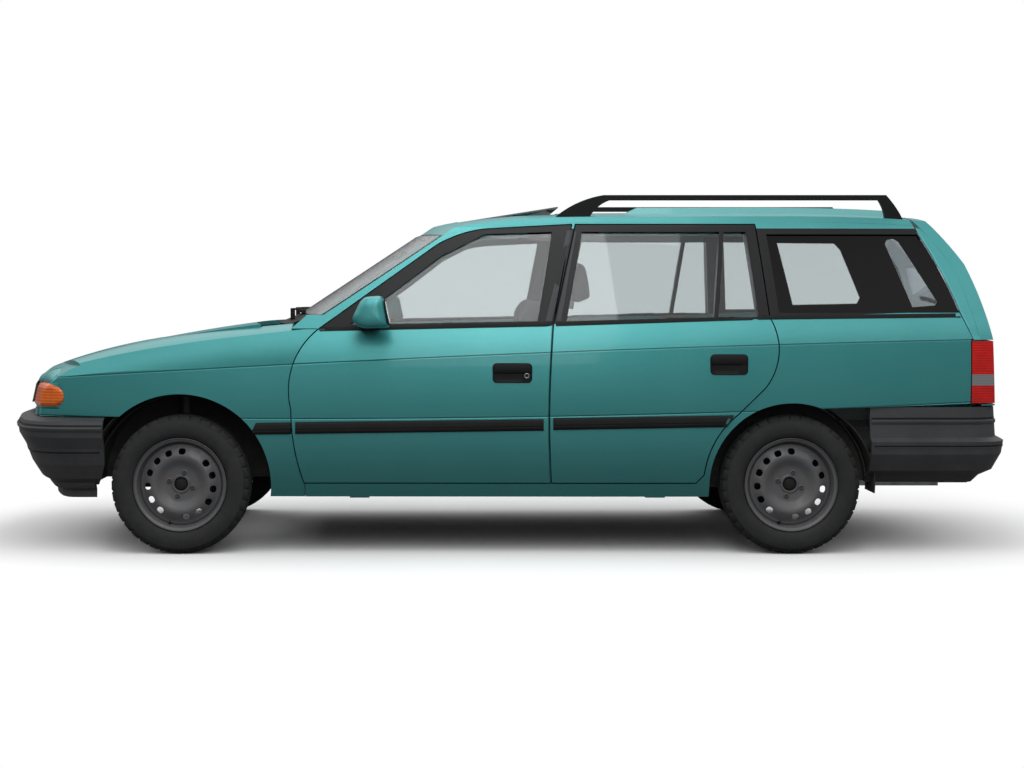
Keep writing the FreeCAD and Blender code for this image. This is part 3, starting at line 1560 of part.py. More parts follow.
def floor():
    """The floor pressing: bulkhead, toe board, cabin floor, heel board and load floor."""
    upper = [(d.bulkhead_y, d.bulkhead_top), (d.bulkhead_y, d.toe_z), (d.toe_y, d.floor_z),
             (d.heel_y, d.floor_z), (d.heel_y, d.heel_z), (d.load_front_y, d.load_floor_z),
             (d.rear_panel_y - d.seam, d.load_floor_z)]
    lower = [(d.rear_panel_y - d.seam, d.load_floor_z - d.floor_wall),
             (d.load_front_y + d.floor_wall, d.load_floor_z - d.floor_wall),
             (d.heel_y + d.floor_wall, d.heel_z - d.floor_wall), (d.heel_y + d.floor_wall, d.floor_z - d.floor_wall),
             (d.toe_y, d.floor_z - d.floor_wall), (d.bulkhead_y - d.floor_wall, d.toe_z - d.floor_wall),
             (d.bulkhead_y - d.floor_wall, d.bulkhead_top)]
    plate = extruded("floor_plate", "side", -d.half_reach, d.half_reach, list(reversed(upper + lower)))
    tunnel = box("floor_tunnel", (-d.tunnel_half, d.toe_y, d.floor_z - d.floor_wall),
                 (d.tunnel_half, d.heel_y + d.floor_wall, d.floor_z + d.tunnel_height))
    inner_half = d.tunnel_half - d.tunnel_wall
    channel = box("tunnel_channel", (-inner_half, d.toe_y - d.floor_wall, ZERO),
                  (inner_half, d.heel_y + 2 * d.floor_wall, d.floor_z + d.tunnel_height - d.tunnel_wall))
    blank = common("floor_blank", fused("floor_raw", plate, tunnel), FORMS.inner_core)
    right_space = mirrored("rear_wheel_space_right", FORMS.rear_wheel_space)
    node("floor_pan", cut("floor_pan", blank, channel, FORMS.rear_wheel_space, right_space))


def wheelhouse(name, axle_y, radius, inner, outer, below_z):
    """A half drum over each wheel of an axle, closed on its inner side."""
    drum = rod(f"{name}_drum", (inner, axle_y, d.wheel_z), "x", outer - inner, radius)
    shaft = rod(f"{name}_shaft_hole", (ZERO, axle_y, d.wheel_z), "x", outer, d.stub_radius + d.seam)
    hollow = rod(f"{name}_hollow", (inner + d.wheelhouse_wall, axle_y, d.wheel_z), "x",
                 d.half_reach - inner, radius - d.wheelhouse_wall)
    below = box(f"{name}_below", (ZERO, axle_y - radius - d.shut_gap, -d.wheel_z),
                (d.half_reach, axle_y + radius + d.shut_gap, below_z))
    shell = cut(f"{name}_shell", drum, hollow, below, shaft)
    return fused(name, shell, mirrored(f"{name}_right", shell))


def wheelhouses():
    """The front pair stands on the chassis legs, the rear pair on the load floor."""
    front = wheelhouse("front_wheelhouses", d.front_axle_y, d.front_house_radius, d.front_house_inner,
                       d.front_house_outer, d.wheel_z)
    node("front_wheelhouses", front)
    rear = wheelhouse("rear_wheelhouses", d.rear_axle_y, d.rear_arch_radius - d.seam, d.wheelhouse_inner + d.seam,
                      d.rear_house_outer, d.wheel_z)
    node("rear_wheelhouses", rear)


def turned(name, axle_y, corners, arcs=None):
    """Turn a wheel section, drawn as distance across the car and radius, about its axle."""
    body = add("PartDesign::Body", name)
    sketch = new_sketch(f"{name}_section", "front", ZERO, body)
    draw(sketch, corners, arcs)
    turn = body.newObject("PartDesign::Revolution", f"{name}_turn")
    turn.Profile = sketch
    turn.ReferenceAxis = (sketch, ["H_Axis"])
    turn.Angle = FULL_TURN
    body.Placement = Placement(Vector(0, axle_y.value, d.wheel_z.value), Rotation())
    body.setExpression(".Placement.Base.y", axle_y.text)
    body.setExpression(".Placement.Base.z", d.wheel_z.text)
    return body


def rim(name, axle_y):
    """A pressed steel wheel: hub, dished disc with a ring of vents, and barrel."""
    face = d.wheel_x + d.disc_offset
    low = d.wheel_x - d.barrel_half
    high = d.wheel_x + d.barrel_half
    corners = [
        (face - d.hub_depth, ZERO), (face + d.hub_cap, ZERO), (face + d.hub_cap, d.hub_radius), (face, d.hub_radius),
        (face, d.bolt_face_radius), (face + d.disc_rise, d.disc_crest_radius), (face + d.disc_rise, d.disc_brow_radius),
        (face, d.disc_root_radius), (high - d.flange_width_rim, d.seat_radius - d.rim_wall),
        (high, d.rim_radius - d.flange_round), (high, d.rim_radius), (high - d.rim_wall, d.rim_radius),
        (high - d.flange_width_rim, d.seat_radius), (low + d.flange_width_rim, d.seat_radius),
        (low + d.rim_wall, d.rim_radius), (low, d.rim_radius), (low, d.rim_radius - d.flange_round),
        (low + d.flange_width_rim, d.seat_radius - d.rim_wall),
        (face - d.disc_wall - d.disc_wall, d.seat_radius - d.rim_wall),
        (face - d.disc_wall, d.disc_root_radius - d.disc_wall),
        (face + d.disc_rise - d.disc_wall, d.disc_brow_radius - d.disc_wall),
        (face + d.disc_rise - d.disc_wall, d.disc_crest_radius + d.disc_wall),
        (face - d.disc_wall, d.bolt_face_radius + d.disc_wall), (face - d.hub_depth, d.bolt_face_radius),
    ]
    body = turned(name, axle_y, corners)
    doc.recompute()
    vent = new_sketch(f"{name}_vent", "side", face - d.hub_depth, body)
    draw(vent, [(-d.vent_half_low, d.vent_radius - d.vent_half_height),
                (d.vent_half_low, d.vent_radius - d.vent_half_height),
                (d.vent_half_high, d.vent_radius + d.vent_half_height),
                (-d.vent_half_high, d.vent_radius + d.vent_half_height)])
    pocket = body.newObject("PartDesign::Pocket", f"{name}_vent_cut")
    pocket.Profile = vent
    pocket.Reversed = True
    bind(pocket, Length=d.disc_rise + d.hub_depth + d.disc_wall)
    ring = body.newObject("PartDesign::PolarPattern", f"{name}_vents")
    ring.Originals = [pocket]
    axis = [item for item in body.Origin.OriginFeatures if item.Role == "X_Axis"][0]
    ring.Axis = (axis, [""])
    ring.Angle = FULL_TURN
    ring.setExpression("Occurrences", d.vent_count.text)
    body.Tip = ring
    return body


def tyre(name, axle_y):
    """A tyre with its beads on the rim's seats."""
    foot = d.seat_radius + d.seam
    half = d.tyre_half
    bead = d.barrel_half - d.flange_width_rim - d.seam
    profile = [(bead, foot), (d.barrel_half - d.rim_wall - d.seam, d.rim_radius + d.seam),
               (d.barrel_half + d.seam, d.rim_radius + d.bead_rise), (half, d.tyre_belly_radius),
               (half - d.shoulder_inset, d.wheel_z - d.shoulder_drop),
               (half - d.tread_inset, d.wheel_z)]
    corners = [(d.wheel_x + out, up) for out, up in profile]
    corners += [(d.wheel_x - out, up) for out, up in reversed(profile)]
    return turned(name, axle_y, corners)


def wheels():
    """Four wheels, each a rim and a tyre."""
    for name, axle_y in (("front", d.front_axle_y), ("rear", d.rear_axle_y)):
        fork(f"{name}_rim", rim(f"{name}_rim_left", axle_y))
        fork(f"{name}_tyre", tyre(f"{name}_tyre_left", axle_y))


def knuckles():
    """The upright that carries each front wheel and turns about its strut."""
    hub_face = d.wheel_x + d.disc_offset - d.hub_depth
    stub = rod("stub_axle", (d.kingpin_x, d.front_axle_y, d.wheel_z), "x",
               hub_face - d.seam - d.kingpin_x, d.stub_radius)
    upright = rod("upright", (d.kingpin_x, d.front_axle_y, d.knuckle_low), "z",
                  d.knuckle_high - d.knuckle_low, d.upright_radius)
    disc = rod("brake_disc", (d.brake_x, d.front_axle_y, d.wheel_z), "x", d.brake_wall, d.brake_radius)
    pin = rod("ball_pin", (d.kingpin_x, d.front_axle_y, d.arm_low), "z", d.knuckle_low - d.arm_low, d.ball_radius)
    strut = rod("strut", (d.kingpin_x, d.front_axle_y, d.knuckle_high), "z",
                d.strut_top - d.knuckle_high, d.strut_radius)
    fork("knuckle", fused("knuckle_left", stub, upright, disc, pin, strut))


def front_structure():
    """Chassis legs with their cross member, the lower arms, and the engine between them."""
    leg = box("chassis_leg", (d.leg_inner, d.lamp_back_y + d.front_panel_wall + d.seam, d.leg_low),
              (d.front_house_inner - d.seam, d.bulkhead_y - d.floor_wall - d.seam, d.leg_high))
    drop = box("leg_drop", (d.leg_inner, d.front_axle_y + d.cross_front, d.cross_low),
               (d.front_house_inner - d.seam, d.front_axle_y + d.cross_rear, d.leg_low))
    cross = box("cross_member", (-d.leg_inner, d.front_axle_y + d.cross_front, d.cross_low),
                (d.leg_inner, d.front_axle_y + d.cross_rear, d.cross_high))
    arm = extruded("lower_arm", "plan", d.arm_low, d.arm_high, [
        (d.front_house_inner - d.seam - d.arm_root, d.front_axle_y + d.cross_front),
        (d.kingpin_x, d.front_axle_y - d.arm_tip_half), (d.kingpin_x + d.arm_tip_half, d.front_axle_y),
        (d.kingpin_x, d.front_axle_y + d.arm_tip_half),
        (d.front_house_inner - d.seam - d.arm_root, d.front_axle_y + d.cross_rear)])
    eye = rod("ball_eye", (d.kingpin_x, d.front_axle_y, ZERO), "z", d.wheel_z, d.ball_radius + d.seam)
    left = cut("subframe_left", fused("subframe_side", leg, drop, arm), eye)
    node("front_subframe", fused("front_subframe", left, mirrored("subframe_right", left), cross))
    engine = box("engine_block", (-d.engine_half, d.engine_front_y, d.cross_high + d.seam),
                 (d.engine_half, d.engine_rear_y, d.engine_high))
    node("engine", engine)


def rear_structure():
    """The trailing-arm axle and the exhaust."""
    hub_face = d.wheel_x + d.disc_offset - d.hub_depth
    beam = box("axle_beam", (-d.trailing_x, d.beam_y, d.beam_z), (d.trailing_x, d.beam_y + d.beam_size,
                                                                  d.beam_z + d.beam_size))
    arm = box("trailing_arm", (d.trailing_x, d.heel_y + d.floor_wall + d.seam, d.beam_z),
              (d.trailing_x + d.trailing_wall, d.rear_axle_y + d.beam_size, d.beam_z + d.beam_size))
    stub = rod("rear_stub", (d.trailing_x, d.rear_axle_y, d.wheel_z), "x",
               hub_face - d.seam - d.trailing_x, d.stub_radius)
    half = fused("rear_axle_left", arm, stub)
    node("rear_axle", fused("rear_axle", half, mirrored("rear_axle_right", half), beam))
    silencer = box("silencer", (d.exhaust_x - d.silencer_half, d.silencer_front_y, d.silencer_low),
                   (d.exhaust_x + d.silencer_half, d.silencer_rear_y, d.silencer_high))
    hanger = box("exhaust_hanger", (d.exhaust_x - d.hanger_half, d.silencer_front_y, d.silencer_high),
                 (d.exhaust_x + d.hanger_half, d.silencer_rear_y, d.load_floor_z - d.floor_wall - d.seam))
    pipe = rod("tail_pipe", (d.exhaust_x, d.silencer_rear_y, d.tail_pipe_z), "y",
               d.tail_pipe_end_y - d.silencer_rear_y, d.pipe_radius)
    node("exhaust", fused("exhaust", silencer, hanger, pipe))


def seat_profile(cushion_front, cushion_rear, base, top):
    """Return the side outline of a seat with a leaning back."""
    return [(cushion_front, base), (cushion_rear, base), (cushion_rear + d.back_lean, top),
            (cushion_rear + d.back_lean - d.back_wall, top),
            (cushion_rear - d.back_wall, base + d.cushion_height), (cushion_front, base + d.cushion_height)]


def seats():
    """Two front seats and the rear bench, with head restraints."""
    front = extruded("front_seat", "side", d.seat_x - d.seat_half, d.seat_x + d.seat_half, seat_profile(
        d.front_seat_front_y, d.front_seat_rear_y, d.floor_z + d.seam, d.seat_top))
    rest = extruded("front_rest", "side", d.seat_x - d.rest_half, d.seat_x + d.rest_half, rectangle(
        d.front_seat_rear_y + d.back_lean - d.rest_wall, d.seat_top,
        d.front_seat_rear_y + d.back_lean, d.seat_top + d.rest_height))
    one = fused("front_seat_left", front, rest)
    node("front_seats", fused("front_seats", one, mirrored("front_seat_right", one)))
    bench = extruded("rear_bench", "side", -d.bench_half, d.bench_half, seat_profile(
        d.rear_seat_front_y, d.rear_seat_rear_y, d.floor_z + d.tunnel_height + d.seam, d.seat_top))
    node("rear_seat", bench)


def tilted(name, *parts):
    """Join parts drawn about an upright axis and place them on the steering wheel's axis."""
    whole = fused(name, *parts)
    whole.Placement = Placement(Vector(d.seat_x.value, d.steering_y.value, d.steering_z.value),
                                Rotation(Vector(1, 0, 0), STEERING_TILT))
    whole.setExpression(".Placement.Base.x", d.seat_x.text)
    whole.setExpression(".Placement.Base.y", d.steering_y.text)
    whole.setExpression(".Placement.Base.z", d.steering_z.text)
    return whole


def cabin_front():
    """Dashboard and steering wheel."""
    corners = [(d.dash_front_y, d.dash_low), (d.dash_rear_y, d.dash_low), (d.dash_rear_y, d.dash_high),
               (d.dash_front_y + d.dash_slope_depth, d.dash_high), (d.dash_front_y, d.dash_high - d.dash_slope_drop)]
    dash = common("dash_body", extruded("dash_blank", "side", -d.half_reach, d.half_reach, corners), FORMS.inner_core)
    parts = []
    for name, radius, length in (("column_shroud", d.column_radius, d.column_length),
                                 ("steering_shaft", d.steering_shaft_radius, d.steering_shaft_length)):
        part = add("Part::Cylinder", name)
        bind(part, Radius=radius, Height=length)
        part.setExpression(".Placement.Base.z", (-length - d.seam).text)
        parts.append(part)
    node("dashboard", fused("dashboard", dash, tilted("steering_column", *parts)))
    tube = d.steering_tube
    radius = d.steering_radius
    section = outline("steering_section", "front", [
        (radius - tube, -tube / 2), (radius, -tube), (radius + tube, -tube / 2),
        (radius + tube, tube / 2), (radius, tube), (radius - tube, tube / 2)])
    ring = revolved("steering_ring", section, ZERO, FULL_TURN)
    spoke = add("Part::Cylinder", "steering_hub")
    bind(spoke, Radius=d.steering_hub_radius, Height=d.steering_hub_depth)
    bar = add("Part::Box", "steering_spoke")
    bind(bar, Length=2 * d.steering_radius, Width=d.steering_spoke_width, Height=d.steering_tube)
    bar.setExpression(".Placement.Base.x", (-d.steering_radius).text)
    bar.setExpression(".Placement.Base.y", (-d.steering_spoke_width / 2).text)
    node("steering_wheel", tilted("steering_wheel", ring, spoke, bar))


def mirror_section(name, across, inset):
    """Draw the mirror head's side view at one distance from the middle of the car."""
    front = d.mirror_front_y + inset
    glass = d.mirror_glass_y - inset
    low = d.mirror_low + inset
    high = d.mirror_high - inset
    corners = [(front + d.mirror_slant, low), (glass - d.mirror_edge, low), (glass, low + d.mirror_edge),
               (glass - d.mirror_tilt, high), (front + 1.5 * d.mirror_slant, high),
               (front + d.mirror_slant, high - d.mirror_brow), (front, low + d.mirror_waist)]
    return outline(name, "side", corners, at=across)


def door_mirrors():
    """Door mirrors with a rounded head on a foot at the window's front corner."""
    foot = box("mirror_foot", (d.mirror_foot_x, d.mirror_foot_y, d.mirror_low + d.mirror_edge),
               (d.mirror_inner_x + d.mirror_edge, d.mirror_foot_y + d.mirror_foot_depth,
                d.mirror_low + d.mirror_foot_height))
    head = lofted("mirror_head", [mirror_section("mirror_section_inner", d.mirror_inner_x, ZERO),
                                  mirror_section("mirror_section_middle", d.mirror_middle_x, ZERO),
                                  mirror_section("mirror_section_outer", d.mirror_outer_x, d.mirror_end_inset)])
    fork("door_mirror", cut("door_mirror_left", fused("mirror_blank", foot, head), FORMS.side_skin))


def wiper(name, shift, pivot_y, pivot_low, start_y, middle_y, end_y):
    """Make one parked wiper: pivot, arm and a blade that follows the foot of the screen."""
    start = d.wiper_start_x - shift
    middle = start + d.wiper_span / 2
    end = start + d.wiper_span
    width = d.wiper_blade_width
    top = d.wiper_low + d.wiper_blade_height
    blade = extruded(f"{name}_blade", "plan", d.wiper_low, top, [
        (start, start_y - width), (middle, middle_y - width), (end, end_y - width),
        (end, end_y), (middle, middle_y), (start, start_y)])
    pivot_x = d.wiper_pivot_x - shift
    arm = extruded(f"{name}_arm", "plan", top - d.seam, top + d.wiper_arm_height, [
        (middle, middle_y - width), (pivot_x, pivot_y - d.wiper_arm_width / 2),
        (pivot_x, pivot_y + d.wiper_arm_width / 2), (middle, middle_y)])
    pivot = rod(f"{name}_pivot", (pivot_x, pivot_y, pivot_low), "z",
                top + d.wiper_arm_height - pivot_low, d.wiper_pivot_radius)
    return fused(name, blade, arm, pivot)


def wipers():
    """The two wipers, seated on the scuttle panel."""
    near = wiper("wiper_near", ZERO, d.wiper_pivot_y, d.wiper_pivot_low,
                 d.wiper_start_y, d.wiper_middle_y, d.wiper_end_y)
    far = wiper("wiper_far", d.wiper_shift_x, d.wiper_shift_pivot_y, d.wiper_shift_pivot_low,
                d.wiper_shift_start_y, d.wiper_shift_middle_y, d.wiper_shift_end_y)
    node("wipers", cut("wipers", fused("wiper_pair", near, far), NODES["scuttle_panel"]))


def build():
    """Build every piece of the car."""
    make_lines()
    make_forms()
    side_frames()
    doors(glass_layer())
    roof()
    roof_rails()
    front_end()
    front_bumper()
    rear_bumper()
    tail_end()
    floor()
    wheelhouses()
    wheels()
    knuckles()
    front_structure()
    rear_structure()
    seats()
    cabin_front()
    door_mirrors()
    wipers()
    doc.recompute()


def write():
    """Check every object and write each node to its own file."""
    failed = [item.Name for item in doc.Objects if {"Invalid", "Error"} & set(item.State)]
    if failed:
        raise SystemExit(f"not built: {failed}")
    for name, source in NODES.items():
        shape = source.Shape
        if shape.isNull() or not shape.isValid():
            raise SystemExit(f"bad shape: {name}")
    os.makedirs("parts", exist_ok=True)
    for name, source in NODES.items():
        source.Shape.exportStep(f"parts/{name}.step")
        print(f"{name}: {len(source.Shape.Solids)} solid(s), {source.Shape.Volume / CUBIC_CM:.0f} cm3")


build()
write()
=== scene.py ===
import logging
import math
from collections.abc import Sequence
from dataclasses import dataclass
from enum import Enum

import bmesh
import bpy
from mathutils import Matrix, Vector
from mathutils.bvhtree import BVHTree


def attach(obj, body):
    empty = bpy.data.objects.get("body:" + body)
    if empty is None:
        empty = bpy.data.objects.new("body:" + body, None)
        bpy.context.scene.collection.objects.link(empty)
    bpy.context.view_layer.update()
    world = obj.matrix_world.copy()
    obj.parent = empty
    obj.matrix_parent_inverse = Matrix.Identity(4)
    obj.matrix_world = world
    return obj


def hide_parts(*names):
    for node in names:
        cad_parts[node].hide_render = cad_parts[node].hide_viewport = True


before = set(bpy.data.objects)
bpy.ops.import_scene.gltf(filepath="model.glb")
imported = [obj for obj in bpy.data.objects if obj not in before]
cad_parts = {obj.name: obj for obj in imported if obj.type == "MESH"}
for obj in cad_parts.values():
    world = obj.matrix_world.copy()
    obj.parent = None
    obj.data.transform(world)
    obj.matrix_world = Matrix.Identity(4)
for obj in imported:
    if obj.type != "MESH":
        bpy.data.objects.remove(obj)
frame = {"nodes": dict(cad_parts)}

LOG = logging.getLogger("station_wagon")
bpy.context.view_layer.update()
NODES: dict[str, bpy.types.Object] = frame["nodes"]
COLLECTION = bpy.context.scene.collection

Point = tuple[float, float, float]
Flat = tuple[float, float]
Colour = tuple[float, float, float]
Socket = bpy.types.NodeSocket
Mesh = bmesh.types.BMesh
Hit = tuple[Vector, Vector]
Line = tuple[Flat, ...]

WHITE: Colour = (1.0, 1.0, 1.0)


class Side(Enum):
    """The two sides of the car, with the sign of X on each."""

    LEFT = 1
    RIGHT = -1

    @property
    def word(self) -> str:
        """The side's name as the nodes spell it."""
        return self.name.lower()


class Shade(Enum):
    """Which of the car's finishes a piece is dressed in."""

    PAINT = "teal_paint"
    SIDE_PAINT = "side_paint"
    DOOR_PAINT = "door_paint"
    UNDERSIDE = "underside"
    PLASTIC = "grained_plastic"
    RUBBER = "rubber"
    GLASS = "clear_glass"
    DARK_GLASS = "dark_glass"
    QUARTER_GLASS = "quarter_glass"
    WHEEL = "wheel_enamel"
    TYRE = "tyre_rubber"
    STEEL = "raw_steel"
    IRON = "cast_iron"
    CLOTH = "seat_cloth"
    TRIM = "cabin_trim"
    AMBER = "amber_lens"
    RED = "red_lens"
    SMOKE = "smoke_glass"
    CLEAR = "clear_lens"
    REFLECTOR = "reflector"
    PLATE = "blank_plate"
    MIRROR = "mirror_glass"


def linear(red: int, green: int, blue: int) -> Colour:
    """Turn a screen colour into the linear values that shaders use.

    Args:
        red: Red from 0 to 255.
        green: Green from 0 to 255.
        blue: Blue from 0 to 255.

    Returns:
        The three linear values.
    """
    def convert(part: int) -> float:
        """Turn one part of the colour."""
        share = part / 255
        return share / 12.92 if share <= 0.04045 else ((share + 0.055) / 1.055) ** 2.4
    return convert(red), convert(green), convert(blue)


class Graph:
    """Adds nodes to one shader tree and wires them."""

    def __init__(self, tree: bpy.types.NodeTree) -> None:
        """Start from an empty tree."""
        self.tree = tree
        tree.nodes.clear()

    def add(self, kind: str, **inputs: object) -> bpy.types.Node:
        """Add a node and set or wire its inputs.

        Args:
            kind: The node type without its "ShaderNode" prefix.
            inputs: Input names, with underscores for spaces, and a value or an output socket each.

        Returns:
            The new node.
        """
        node = self.tree.nodes.new(f"ShaderNode{kind}")
        self.put(node, **inputs)
        return node

    def put(self, node: bpy.types.Node, **inputs: object) -> None:
        """Set or wire several inputs of a node, named with underscores for spaces."""
        for name, value in inputs.items():
            self.feed(node.inputs[name.replace("_", " ")], value)

    def feed(self, socket: Socket, value: object) -> None:
        """Wire an output into a socket, or set the socket's own value."""
        if isinstance(value, Socket):
            self.tree.links.new(value, socket)
        elif isinstance(value, tuple) and len(value) == 3 and socket.type == "RGBA":
            socket.default_value = (*value, 1.0)
        else:
            socket.default_value = value

    def maths(self, operation: str, *values: object) -> Socket:
        """Combine numbers with a Math node and return its output."""
        node = self.tree.nodes.new("ShaderNodeMath")
        node.operation = operation
        for socket, value in zip(node.inputs, values):
            self.feed(socket, value)
        return node.outputs[0]

    def mix(self, share: object, low: object, high: object) -> Socket:
        """Mix two colours by a share and return the result."""
        node = self.tree.nodes.new("ShaderNodeMix")
        node.data_type = "RGBA"
        self.feed(node.inputs[0], share)
        self.feed(node.inputs[6], low)
        self.feed(node.inputs[7], high)
        return node.outputs[2]

    def between(self, value: object, low: float, high: float, start: float = 0.0, end: float = 1.0) -> Socket:
        """Map a value smoothly from low..high to start..end and return it."""
        node = self.tree.nodes.new("ShaderNodeMapRange")
        node.interpolation_type = "SMOOTHSTEP"
        for name, part in (("Value", value), ("From Min", low), ("From Max", high), ("To Min", start),
                           ("To Max", end)):
            self.feed(node.inputs[name], part)
        return node.outputs[0]

    def spot(self) -> Socket:
        """Return the position in the object."""
        return self.add("TexCoord").outputs["Object"]

    def parts(self) -> bpy.types.bpy_prop_collection:
        """Return the position's three parts as outputs."""
        return self.add("SeparateXYZ", Vector=self.spot()).outputs

    def noise(self, scale: float, detail: float, roughness: float = 0.5) -> Socket:
        """Return soft noise from 0 to 1."""
        return self.add("TexNoise", Vector=self.spot(), Scale=scale, Detail=detail,
                        Roughness=roughness).outputs["Fac"]

    def group(self, tree: bpy.types.NodeTree, **inputs: object) -> bpy.types.Node:
        """Place a node group and set its inputs."""
        node = self.tree.nodes.new("ShaderNodeGroup")
        node.node_tree = tree
        self.put(node, **inputs)
        return node


class Effects:
    """Node groups that more than one finish uses, each built once."""

    def __init__(self) -> None:
        """Build every group."""
        self.grain = self.make_grain()
        self.dust = self.make_dust()
        self.flakes = self.make_flakes()
        self.weave = self.make_weave()

    @staticmethod
    def start(name: str, inputs: dict[str, str], outputs: dict[str, str]) -> tuple[Graph, object, object]:
        """Make an empty group with named sockets.

        Args:
            name: The group's name.
            inputs: Socket names and kinds that go in.
            outputs: Socket names and kinds that come out.

        Returns:
            The graph, the group's input node and its output node.
        """
        tree = bpy.data.node_groups.new(name, "ShaderNodeTree")
        for socket, kind in inputs.items():
            tree.interface.new_socket(socket, in_out="INPUT", socket_type=f"NodeSocket{kind}")
        for socket, kind in outputs.items():
            tree.interface.new_socket(socket, in_out="OUTPUT", socket_type=f"NodeSocket{kind}")
        graph = Graph(tree)
        return graph, tree.nodes.new("NodeGroupInput"), tree.nodes.new("NodeGroupOutput")

    def make_grain(self) -> bpy.types.NodeTree:
        """Fine moulded grain as a height."""
        graph, source, result = self.start("moulded_grain", {"Scale": "Float"}, {"Height": "Float"})
        cells = graph.add("TexVoronoi", Vector=graph.spot(), Scale=source.outputs["Scale"])
        cloud = graph.noise(source.outputs["Scale"], 2.0)
        graph.put(result, Height=graph.maths("ADD", cells.outputs["Distance"], cloud))
        return graph.tree

    def make_dust(self) -> bpy.types.NodeTree:
        """Road dust that gathers low down and in patches."""
        graph, source, result = self.start(
            "road_dust", {"Colour": "Color", "Dust": "Color", "Amount": "Float", "Reach": "Float"},
            {"Colour": "Color", "Mask": "Float"})
        low = graph.maths("SUBTRACT", 1.0, graph.maths("DIVIDE", graph.parts()[2], source.outputs["Reach"]))
        patchy = graph.maths("MULTIPLY", graph.between(graph.noise(9.0, 6.0, 0.65), 0.3, 0.75),
                             graph.between(graph.noise(160.0, 2.0), 0.2, 0.8, 0.6, 1.0))
        mask = graph.maths("MULTIPLY", graph.maths("MULTIPLY", graph.between(low, 0.0, 1.0), patchy),
                           source.outputs["Amount"])
        graph.put(result, Colour=graph.mix(mask, source.outputs["Colour"], source.outputs["Dust"]), Mask=mask)
        return graph.tree

    def make_flakes(self) -> bpy.types.NodeTree:
        """Metal flakes in paint: each cell a little lighter or darker."""
        graph, source, result = self.start(
            "paint_flakes", {"Colour": "Color", "Light": "Color", "Scale": "Float"}, {"Colour": "Color"})
        cells = graph.add("TexVoronoi", Vector=graph.spot(), Scale=source.outputs["Scale"])
        glint = graph.between(graph.add("SeparateColor", Color=cells.outputs["Color"]).outputs[0], 0.55, 1.0)
        share = graph.maths("MULTIPLY", glint, graph.between(graph.noise(3.0, 2.0), 0.2, 0.8, 0.25, 0.5))
        graph.put(result, Colour=graph.mix(share, source.outputs["Colour"], source.outputs["Light"]))
        return graph.tree

    def make_weave(self) -> bpy.types.NodeTree:
        """Woven threads as a height and a light and dark mask."""
        graph, source, result = self.start("woven_threads", {"Scale": "Float"},
                                           {"Height": "Float", "Mask": "Float"})
        threads = []
        for axis in ("X", "Z"):
            wave = graph.add("TexWave", Vector=graph.spot(), Scale=source.outputs["Scale"], Distortion=0.6)
            wave.bands_direction = axis
            threads.append(wave.outputs["Fac"])
        crossed = graph.maths("MULTIPLY", *threads)
        graph.put(result, Height=crossed, Mask=graph.maths("MULTIPLY", crossed, graph.noise(90.0, 4.0)))
        return graph.tree


EFFECTS = Effects()


@dataclass(frozen=True)
class Finish:
    """What every finish has: the slot that it stands for and the plain values of its shader."""

    slot: str
    roughness: float = 0.5
    metallic: float = 0.0
    coat: float = 0.0
    coat_roughness: float = 0.06

    def build(self, name: str) -> bpy.types.Material:
        """Make the material with one Principled shader.

        Args:
            name: The material's name.

        Returns:
            The material.
        """
        material = bpy.data.materials.new(name)
        material.use_nodes = True
        graph = Graph(material.node_tree)
        shader = graph.add("BsdfPrincipled", Roughness=self.roughness, Metallic=self.metallic,
                           Coat_Weight=self.coat, Coat_Roughness=self.coat_roughness)
        graph.add("OutputMaterial", Surface=shader.outputs[0])
        self.wire(graph, shader)
        return material

    def wire(self, graph: Graph, shader: bpy.types.Node) -> None:
        """Wire into the shader what makes the finish, which each kind does in its own way."""

    @staticmethod
    def bump(graph: Graph, shader: bpy.types.Node, height: Socket, strength: float, distance: float) -> None:
        """Wire a height into the shader's normal."""
        graph.put(shader, Normal=graph.add("Bump", Strength=strength, Distance=distance,
                                           Height=height).outputs[0])

    def grained(self, graph: Graph, shader: bpy.types.Node, scale: float, strength: float,
                distance: float) -> None:
        """Raise a moulded grain on the surface."""
        self.bump(graph, shader, graph.group(EFFECTS.grain, Scale=scale).outputs["Height"], strength,
                  distance)


